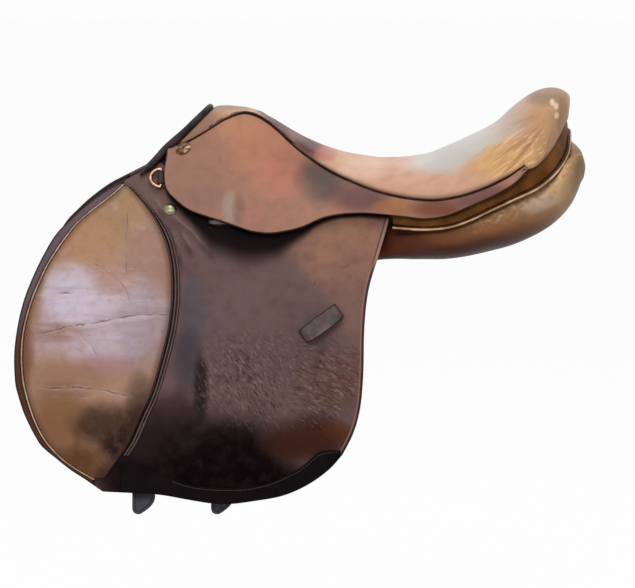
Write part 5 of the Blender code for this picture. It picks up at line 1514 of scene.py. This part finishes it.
def cut_window(bm):
    """Open the flap where the stirrup bar passes through it."""
    lines = ((WINDOW_LOW[0], 0, (1, 0, 0)), (WINDOW_HIGH[0], 0, (1, 0, 0)),
             (WINDOW_LOW[1], 2, (0, 0, 1)), (WINDOW_HIGH[1], 2, (0, 0, 1)))
    for value, axis, across in lines:
        spot = [0.0, 0.0, 0.0]
        spot[axis] = value
        bmesh.ops.bisect_plane(bm, geom=bm.verts[:] + bm.edges[:] + bm.faces[:], dist=1e-5,
                               plane_co=spot, plane_no=across)
    inside = [face for face in bm.faces
              if WINDOW_LOW[0] < face.calc_center_median().x < WINDOW_HIGH[0]
              and WINDOW_LOW[1] < face.calc_center_median().z < WINDOW_HIGH[1]]
    bmesh.ops.delete(bm, geom=inside, context="FACES")


def flap_bend(side):
    """Two points between which the flap turns from the tree to its lifted place."""
    x = (FLAP_FRONT[0][0] + FLAP_REAR[0][0]) / 2
    top, low = FLAP_HINGE_HEIGHT + FLAP_BEND, FLAP_HINGE_HEIGHT - FLAP_BEND
    y = flap_half_width(FLAP_HINGE_HEIGHT)
    return on_side(side, (x, y, top)), on_side(side, (x, y, low))


def make_flap(side, word):
    """Flap in one piece, with the opening for the stirrup bar; it bends where it lifts."""
    bm = laid(*FLAP_GRID, lay_on(side, flap_plan(), flap_rise))
    mark_rim(bm)
    mark_creases(bm, FLAP_CREASES)
    front = bm.verts.layers.float.new("front")
    edge = Route(PAD_FRONT)
    for vert in bm.verts:
        inside = edge.cross(2, vert.co.z).x if vert.co.z < PAD_FRONT[0][1] else PAD_FRONT[0][0]
        vert[front] = min(max(inside - vert.co.x, -PAD_EDGE_REACH), PAD_EDGE_REACH)
    shade = bm.verts.layers.float.new("shade")
    skirt_edge = Route(SKIRT_EDGE_FRONT + tuple((x, z) for x, _, z in SKIRT_EDGE_TAIL))
    for vert in bm.verts:
        wide = read_rows(SKIRT_SHADE, vert.co.x)
        below = skirt_edge.cross(0, vert.co.x).z - vert.co.z
        vert[shade] = ease(below, SHADE_END * wide + 0.001, SHADE_START * wide) if wide > 0.0005 else 0.0
    cut_window(bm)
    face_out(bm, Vector((0, side, 0)))
    flap = thicken(piece_from(bm, word + "_flap_leather", FLAP_SKIN), FLAP_LEATHER, FLAP_CUT_EDGE)
    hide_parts(word + "_flap_head", word + "_flap")
    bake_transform(flap, "tree", word + "_flap", *flap_bend(side))


def pad_rung(z):
    """Front and rear of the knee pad at a height."""
    return PAD_FRONT_LINE.cross(2, z).x, PAD_REAR_LINE.cross(2, z).x


PAD_FRONT_LINE = Route(PAD_FRONT)
PAD_REAR_LINE = Route(PAD_REAR)


def pad_plan(u, v):
    """The knee pad in side view: v runs from its foot to its top."""
    z = PAD_FRONT[-1][1] + 0.001 + (PAD_FRONT[0][1] - PAD_FRONT[-1][1] - 0.0015) * v
    front, rear = pad_rung(z)
    return Vector((front + (rear - front) * u, 0.0, z))


def make_knee_pad(side, word):
    """Stuffed knee pad: full in the middle, pulled flat at its seams, with cracks across it."""

    def outer(u, v):
        point = pad_plan(u, v)
        fullness = ease(v, 0.0, 0.24) * (1 - 0.80 * ease(v, 0.62, 1.0))
        across = (1 - abs(2 * u - 1) ** 3.2)
        sag = 0.0012 * noise.noise(Vector((point.x * 26, 2.0, point.z * 26)))
        rise = PAD_EDGE + (PAD_CROWN * fullness + sag) * across - crease_depth(PAD_CREASES, point.x, point.z)
        return on_side(side, (point.x, layer(point.z, -max(rise, 0.0006)), point.z))

    def base(u, v):
        point = pad_plan(u, v)
        return on_side(side, (point.x, layer(point.z, 0.0006), point.z))

    pad = closed_pad(word + "_knee_roll", *PAD_GRID, outer, base, PAD_SKIN, PAD_CREASES)
    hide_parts(word + "_knee_facing", word + "_knee_pad")
    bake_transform(pad, "tree", word + "_flap", *flap_bend(side))


def make_pad_piping(side, word):
    """Thin light piping between the knee pad and the flap's front edge."""
    line = [on_side(side, (x - 0.0012, layer(z, -PAD_PIPE_RADIUS * 0.8), z)) for x, z in PAD_FRONT]
    pipe = cord_along(word + "_pad_piping", Route(line), PAD_PIPE_RADIUS, LIGHT_PIPE_SKIN, around=8)
    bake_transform(pipe, "tree", word + "_flap", *flap_bend(side))


def strip_plan(u, v):
    """The strip behind the knee pad: u runs backwards, v upwards."""
    high = PAD_REAR[0][1] - 0.004
    z = WELT_STRIP_LOW + (high - WELT_STRIP_LOW) * v
    rear = pad_rung(z)[1]
    wide = WELT_STRIP_WIDTH * (0.45 + 0.55 * ease(z, 0.075, 0.030))
    return Vector((rear + 0.0009 + wide * u, 0.0, z))


def strip_height(u):
    """Section of the strip: a groove beside the pad, then two corded ridges."""
    ridge = max(math.exp(-((u - place) / STRIP_RIDGE_WIDTH) ** 2) for place in STRIP_RIDGES)
    return STRIP_BASE + STRIP_RIDGE_HEIGHT * ridge


def make_flap_welt(side, word):
    """Strip that closes the flap's edge over the pad, with a row of stitches on each ridge."""

    def place(u, v):
        point = strip_plan(u, v)
        return on_side(side, (point.x, layer(point.z, -strip_height(u)), point.z))

    bm = laid(*STRIP_GRID, place)
    face_out(bm, Vector((0, side, 0)))
    strip = thicken(piece_from(bm, word + "_welt_strip", STRIP_SKIN), STRIP_LEATHER, STRIP_CUT_EDGE)
    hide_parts(word + "_flap_welt")
    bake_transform(strip, "tree", word + "_flap", *flap_bend(side))
    spots = []
    for u in STRIP_RIDGES:
        for step in range(STRIP_STITCHES):
            v = (step + 0.5) / STRIP_STITCHES
            spots.append(stitch_spot(side, place(u, v), place(u, v + 0.004), STITCH_STAND))
    thread = stitches(word + "_welt_stitches", spots, *STRIP_STITCH, PALE_THREAD)
    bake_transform(thread, "tree", word + "_flap", *flap_bend(side))


def make_flap_hem(side, word):
    """Crescent of leather along the flap's lower edge, stitched along its top."""
    arc, bottom = Route(HEM_ARC), Route(FLAP_BOTTOM)
    front, rear = HEM_ARC[0][0], HEM_ARC[-1][0] - HEM_REAR_MARGIN

    def plan(u, v):
        x = front + (rear - front) * u
        low, high = bottom.cross(0, x), arc.cross(0, x)
        return low.lerp(high, 0.03 + 0.97 * v)

    def place(u, v):
        point = plan(u, v)
        return on_side(side, (point.x, layer(point.z, -(PATCH_LEATHER + TOUCH)), point.z))

    bm = laid(*HEM_GRID, place)
    face_out(bm, Vector((0, side, 0)))
    hem = thicken(piece_from(bm, word + "_hem_leather", HEM_SKIN), PATCH_LEATHER, HEM_CUT_EDGE)
    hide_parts(word + "_flap_hem")
    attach(hem, word + "_flap")
    spots = []
    for step in range(HEM_STITCHES):
        u = HEM_STITCH_START + HEM_STITCH_RUN * step / (HEM_STITCHES - 1)
        here, ahead = place(u, HEM_STITCH_LINE), place(u + 0.004, HEM_STITCH_LINE)
        spots.append(stitch_spot(side, here, ahead, STITCH_STAND))
    thread = stitches(word + "_hem_stitches", spots, *HEM_STITCH, DARK_THREAD)
    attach(thread, word + "_flap")


def make_keeper(side, word):
    """Loop on the flap for the end of the stirrup leather, stitched down at both ends."""
    x0, z0 = KEEPER_CENTRE
    run = Vector((math.cos(KEEPER_TILT), 0.0, math.sin(KEEPER_TILT)))
    over = Vector((-math.sin(KEEPER_TILT), 0.0, math.cos(KEEPER_TILT)))
    foot = KEEPER_LEATHER + TOUCH

    def place(u, v):
        along = (u - 0.5) * KEEPER_LENGTH
        bowed = 1.12 - 0.16 * (2 * along / KEEPER_LENGTH) ** 2
        spot = Vector((x0, 0.0, z0)) + run * along + over * (v - 0.5) * KEEPER_WIDTH * bowed
        lift = min(1.0, (KEEPER_LENGTH / 2 - abs(along)) / KEEPER_RAMP)
        rise = foot + KEEPER_GAP * (lift * lift * (3 - 2 * lift))
        return on_side(side, (spot.x, layer(spot.z, -rise), spot.z))

    bm = laid(*KEEPER_GRID, place)
    face_out(bm, Vector((0, side, 0)))
    mark_rim(bm)
    loop = thicken(piece_from(bm, word + "_keeper_loop", KEEPER_SKIN), KEEPER_LEATHER, CUT_EDGE)
    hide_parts(word + "_keeper")
    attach(loop, word + "_flap")
    spots = []
    for u in KEEPER_STITCH_ENDS:
        for v in KEEPER_STITCH_ROW:
            spots.append(stitch_spot(side, place(u, v), place(u, v + 0.02), 0.0))
    thread = stitches(word + "_keeper_stitches", spots, *KEEPER_STITCH, DARK_THREAD)
    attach(thread, word + "_flap")


def make_sweat_flap(side, word):
    """Under flap against the horse."""
    front_line = [(x + SWEAT_FLAP_INSET, z) for x, z in FLAP_FRONT[:-1] if z < SWEAT_FLAP_TOP[0][1]]
    rear_line = [(x - SWEAT_FLAP_INSET, z) for x, z in FLAP_REAR[2:-1]]
    bottom_line = [(x, z + SWEAT_FLAP_INSET) for x, z in FLAP_BOTTOM[1:-1]]
    plan = coons(Route([SWEAT_FLAP_TOP[0]] + front_line + [SWEAT_FLAP_FRONT_LOW]),
                 Route([SWEAT_FLAP_TOP[-1]] + rear_line + [SWEAT_FLAP_REAR_LOW]), Route(SWEAT_FLAP_TOP),
                 Route([SWEAT_FLAP_FRONT_LOW] + bottom_line + [SWEAT_FLAP_REAR_LOW]))

    def rise(x, z):
        return -SWEAT_FLAP_DEPTH + 0.0004 * noise.noise(Vector((x * 20, 4.0, z * 20)))

    bm = laid(*SWEAT_FLAP_GRID, lay_on(side, plan, rise))
    face_out(bm, Vector((0, side, 0)))
    under = thicken(piece_from(bm, word + "_under_flap", UNDER_SKIN), SWEAT_FLAP_LEATHER, CUT_EDGE)
    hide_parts(word + "_sweat_flap")
    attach(under, "tree")


# Panels

def panel_surface(side):
    """The panel's skin: u runs along the saddle from the back, v once round its section."""
    flat = [(x, *top, *middle, *bottom, thick) for x, top, middle, bottom, thick in PANEL_STATIONS]
    ends = [flat[0]] + flat + [flat[-1]]

    def place(u, v):
        spot = u * (len(flat) - 1)
        low = min(int(spot), len(flat) - 2)
        corners = [Vector(ends[low + index]) for index in range(4)]
        x, *rest, half_thick = Route.between(*corners, spot - low)
        line = [Vector((0.0, *rest[index:index + 2])) for index in (0, 2, 4)]
        t = 2 * v if v <= 0.5 else 2 - 2 * v
        centre = line[0] * (1 - t) ** 2 + line[1] * 2 * t * (1 - t) + line[2] * t ** 2
        along = (line[1] - line[0]) * (1 - t) + (line[2] - line[1]) * t
        square = Vector((0.0, -along.z, along.y)).normalized()
        swell = half_thick * math.sqrt(max(1 - abs(2 * t - 1) ** PANEL_SQUARENESS, 0.0))
        point = centre + square * (swell if v <= 0.5 else -swell)
        return on_side(side, (x, point.y, point.z))

    return place


def panel_gathers(seam):
    """Puckers of the stuffed leather, deepest beside its upper seam at the back."""

    def height(u, v, point):
        away = seam.find(Vector((point.x, abs(point.y), point.z)))[2]
        reach = ease(away, 0.040, 0.008) * ease(point.x, 0.020, 0.090)
        ripple = noise.noise(Vector((point.x * 85, point.z * 50, abs(point.y) * 60)))
        return 0.0013 * reach * ripple + 0.0006 * noise.noise(point * 35) - 0.0006 * ease(away, 0.006, 0.0)

    return height


def make_panel(side, word):
    """Stuffed panel, with puckers beside its seam."""
    line = Route([Vector(point) for point in PANEL_SEAM]).points(120)
    seam = kdtree.KDTree(len(line))
    for index, point in enumerate(line):
        seam.insert(point, index)
    seam.balance()
    bm = laid(*PANEL_GRID, panel_surface(side))
    close_tube(bm)
    push(bm, panel_gathers(seam))
    bm.normal_update()
    near_seam = bm.verts.layers.float.new("seam")
    under = bm.verts.layers.float.new("under")
    for vert in bm.verts:
        vert[near_seam] = min(seam.find(Vector((vert.co.x, abs(vert.co.y), vert.co.z)))[2], 0.1)
        # Painted shade on the underside: how far its outer part faces down
        vert[under] = ease(vert.normal.z, -0.35, -0.90) * ease(vert.co.y * side, 0.05, 0.09)
    panel = piece_from(bm, word + "_panel_leather", PANEL_SKIN, sharp=80)
    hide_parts(word + "_panel")
    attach(panel, "tree")


# Fittings

def make_dee(side, word):
    """Dee ring of brass wire, lying forward on the flap."""
    normal = flap_normal(side, DEE_HEIGHT)
    up = normal.cross(Vector((1, 0, 0)))
    up = -up if up.z < 0 else up
    on_flap = on_side(side, (DEE_BAR_X, flap_half_width(DEE_HEIGHT), DEE_HEIGHT))
    centre = on_flap + normal * (DEE_STAND + DEE_WIRE_RADIUS)
    points = []
    for step in range(19):
        angle = math.radians(90 + 10 * step)
        forward = Vector((DEE_REACH * math.cos(angle), 0, 0))
        points.append(centre + up * DEE_HALF_HEIGHT * math.sin(angle) + forward)
    points += [centre + up * DEE_HALF_HEIGHT * share for share in (-0.94, -0.5, 0.0, 0.5, 0.94)]
    points.append(points[0])
    ring = cord_along(word + "_dee_ring", Route(points), DEE_WIRE_RADIUS, DEE_BRASS, pitch=0.0009, around=14,
                      closed=True)
    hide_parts(word + "_dee")
    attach(ring, word + "_dee")
    ends = [centre + up * DEE_SLEEVE_HALF * share for share in (-1.0, -0.5, 0.5, 1.0)]
    sleeve = cord_along(word + "_dee_sleeve", Route(ends), DEE_SLEEVE_RADIUS, CHAPE_SKIN, around=16)
    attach(sleeve, nodes[word + "_dee_chape"]["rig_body"])


def make_studs(side, word):
    """Plain domed stud on the skirt, and the brass nail over the tree's point."""
    place = skirt_surface(side)
    u, v = BADGE_SHARES
    here = place(u, v)
    normal = (place(u + 0.01, v) - here).cross(place(u, v + 0.05) - here).normalized()
    normal = -normal if normal.y * side < 0 else normal
    low, high = BADGE_RADIUS, BADGE_RISE
    profile = ((0.0, 0.0), (low, 0.0), (low, 0.0009), (low - 0.0005, 0.0013), (low - 0.0012, 0.0011),
               (low - 0.0017, 0.0015), (low * 0.60, high * 0.82), (low * 0.35, high * 0.95), (0.0, high))
    stud = turned(word + "_skirt_stud", profile, here + normal * 0.0015, normal, STUD_BRASS)
    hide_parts(word + "_badge_stud")
    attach(stud, nodes[word + "_badge_stud"]["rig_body"])
    x, z = NAIL_PLACE
    out = flap_normal(side, z)
    low, high = NAIL_RADIUS, NAIL_RISE
    profile = ((0.0, 0.0), (low, 0.0), (low, 0.0006), (low * 0.90, 0.0011), (low * 0.75, high * 0.62),
               (low * 0.50, high * 0.86), (low * 0.25, high * 0.97), (0.0, high))
    place_out = on_side(side, (x, flap_half_width(z), z)) + out * 0.0006
    nail = turned(word + "_brass_nail", profile, place_out, out, NAIL_BRASS)
    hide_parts(word + "_flap_nail")
    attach(nail, nodes[word + "_flap_nail"]["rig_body"])


# Girth straps

def make_billets(side, word):
    """Three girth straps with rounded points; their punched holes are painted as dark spots of shade."""
    for which, (x0, depth, tip) in BILLET_PLACES.items():
        half = BILLET_WIDTH / 2

        def middle(z):
            return x0 + BILLET_LEAN * ease(z, -0.05, -0.25)

        def plan(u, v):
            z = BILLET_TOP + (tip - BILLET_TOP) * (1 - v)
            round_share = min(max((tip + BILLET_POINT - z) / BILLET_POINT, 0.0), 1.0)
            slope_share = min(max((tip + BILLET_SLOPE - z) / BILLET_SLOPE, 0.0), 1.0)
            left = BILLET_LEFT_ROUND * (1 - math.sqrt(1 - round_share ** 2)) - half
            right = half - BILLET_RIGHT_CUT * slope_share ** 2.2
            return Vector((middle(z) + left + (right - left) * u, 0.0, z))

        bm = laid(*BILLET_GRID, lay_on(side, plan, lambda x, z: -depth))
        face_out(bm, Vector((0, side, 0)))
        mark_rim(bm)
        hole = bm.verts.layers.float.new("hole")
        heights = [tip + FIRST_HOLE + HOLE_PITCH * index for index in range(HOLES)]
        for vert in bm.verts:
            across = vert.co.x - middle(vert.co.z)
            nearest = min(math.hypot(across, vert.co.z - height) for height in heights)
            vert[hole] = ease(nearest, *HOLE_EDGE)
        name = f"{word}_{which}_strap"
        strap = thicken(piece_from(bm, name, STRAP_SKIN), BILLET_LEATHER, CUT_EDGE)
        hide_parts(f"{word}_{which}_billet")
        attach(strap, f"{word}_{which}_billet")


# Tree and its fittings

def finish_tree():
    """Wood, steel and webbing of the tree, seen from below and behind."""
    for name in ("tree_head", "near_tree_rail", "off_tree_rail", "cantle_board"):
        refined(name, BEECH, 0.0012)
    for name in ("head_plate", "gullet_plate", "near_spring_steel", "off_spring_steel"):
        refined(name, STEEL, 0.0005)
    for name in ("seat_web", "front_girth_web", "rear_girth_web"):
        refined(name, WEBBING, 0.0006)
    for word in SIDE_NAMES.values():
        refined(word + "_stirrup_bar", STEEL, 0.0006)
        refined(word + "_bar_catch", STEEL, 0.0005)
        refined(word + "_point_pocket", CHAPE_SKIN, 0.0004)
        refined(word + "_dee_chape", CHAPE_SKIN, 0.0008)


# Floor, light and camera

def floor_finish():
    """Pale floor that the camera and reflections see white, with the saddle's shadow on it."""
    made = Finish("pale floor", use_rest=False, Base_Color=(0.90, 0.90, 0.90, 1.0), Roughness=0.9,
                  Specular_IOR_Level=0.0)
    lit = Value(made, made.shader.outputs[0])
    glow = made.node("ShaderNodeEmission", sockets={"Color": (1.0, 1.0, 1.0, 1.0)})
    white = made.seen_plainly() * FLOOR_GLOW
    both = made.node("ShaderNodeMixShader", sockets={"Fac": white, 1: lit, 2: glow})
    made.tree.links.new(both.socket, made.tree.nodes["Material Output"].inputs["Surface"])
    return made.material


def make_floor():
    """Floor below the saddle, as far out as the camera sees."""
    bm = bmesh.new()
    bmesh.ops.create_circle(bm, cap_ends=True, segments=64, radius=FLOOR_RADIUS)
    bmesh.ops.translate(bm, verts=bm.verts[:], vec=(0, 0, FLOOR_HEIGHT))
    mesh = bpy.data.meshes.new("floor")
    bm.to_mesh(mesh)
    bm.free()
    floor = bpy.data.objects.new("floor", mesh)
    bpy.context.scene.collection.objects.link(floor)
    mesh.materials.append(floor_finish())


def make_world():
    """White surroundings for the camera and for reflections, softer for the light they give."""
    world = bpy.data.worlds.new("studio")
    bpy.context.scene.world = world
    world.use_nodes = True
    around = Shading(world.node_tree)
    back = around.tree.nodes["Background"]
    back.inputs["Color"].default_value = (0.98, 0.98, 0.985, 1.0)
    plain = around.seen_plainly()
    whole = plain.maths("MAXIMUM", plain, around.node("ShaderNodeLightPath", output="Is Transmission Ray"))
    level = around.node("ShaderNodeMapRange", sockets={"Value": whole, "To Min": SURROUNDINGS, "To Max": 1.0})
    around.tree.links.new(level.socket, back.inputs["Strength"])


def make_light(name, azimuth, elevation, distance, size, power, colour):
    """Soft square lamp that looks at the saddle from an azimuth (0 is the camera's side) and elevation."""
    lamp = bpy.data.lights.new(name, "AREA")
    lamp.shape = "RECTANGLE"
    lamp.size, lamp.size_y = size
    lamp.energy = power
    lamp.color = colour
    obj = bpy.data.objects.new(name, lamp)
    turn, rise = math.radians(azimuth), math.radians(elevation)
    away = Vector((math.sin(turn) * math.cos(rise), -math.cos(turn) * math.cos(rise), math.sin(rise)))
    obj.location = VIEW_TARGET + away * distance
    obj.rotation_euler = away.to_track_quat("Z", "Y").to_euler()
    bpy.context.scene.collection.objects.link(obj)


def make_camera():
    """The photograph's view: level with the seat, from the near side."""
    camera = bpy.data.cameras.new("camera")
    camera.sensor_fit = "HORIZONTAL"
    camera.sensor_width = SENSOR_WIDTH
    camera.lens = SENSOR_WIDTH * VIEW_DISTANCE / VIEW_WIDTH
    obj = bpy.data.objects.new("camera", camera)
    away = Vector((0.0, -math.cos(VIEW_ELEVATION), math.sin(VIEW_ELEVATION)))
    obj.location = VIEW_TARGET + away * VIEW_DISTANCE
    obj.rotation_euler = away.to_track_quat("Z", "Y").to_euler()
    bpy.context.scene.collection.objects.link(obj)
    bpy.context.scene.camera = obj


make_camera()
make_seat()
make_seat_foam()
make_pommel_facing()
make_cantle_facing()
make_panel_welt()
for side, word in SIDE_NAMES.items():
    for maker in (make_seat_welt, make_skirt, make_flap, make_knee_pad, make_pad_piping, make_flap_welt,
                  make_flap_hem, make_keeper, make_sweat_flap, make_panel, make_dee, make_studs,
                  make_billets):
        maker(side, word)
finish_tree()

make_floor()
make_world()
for lamp in LAMPS:
    make_light(*lamp)
bpy.context.scene.view_settings.view_transform = "Standard"
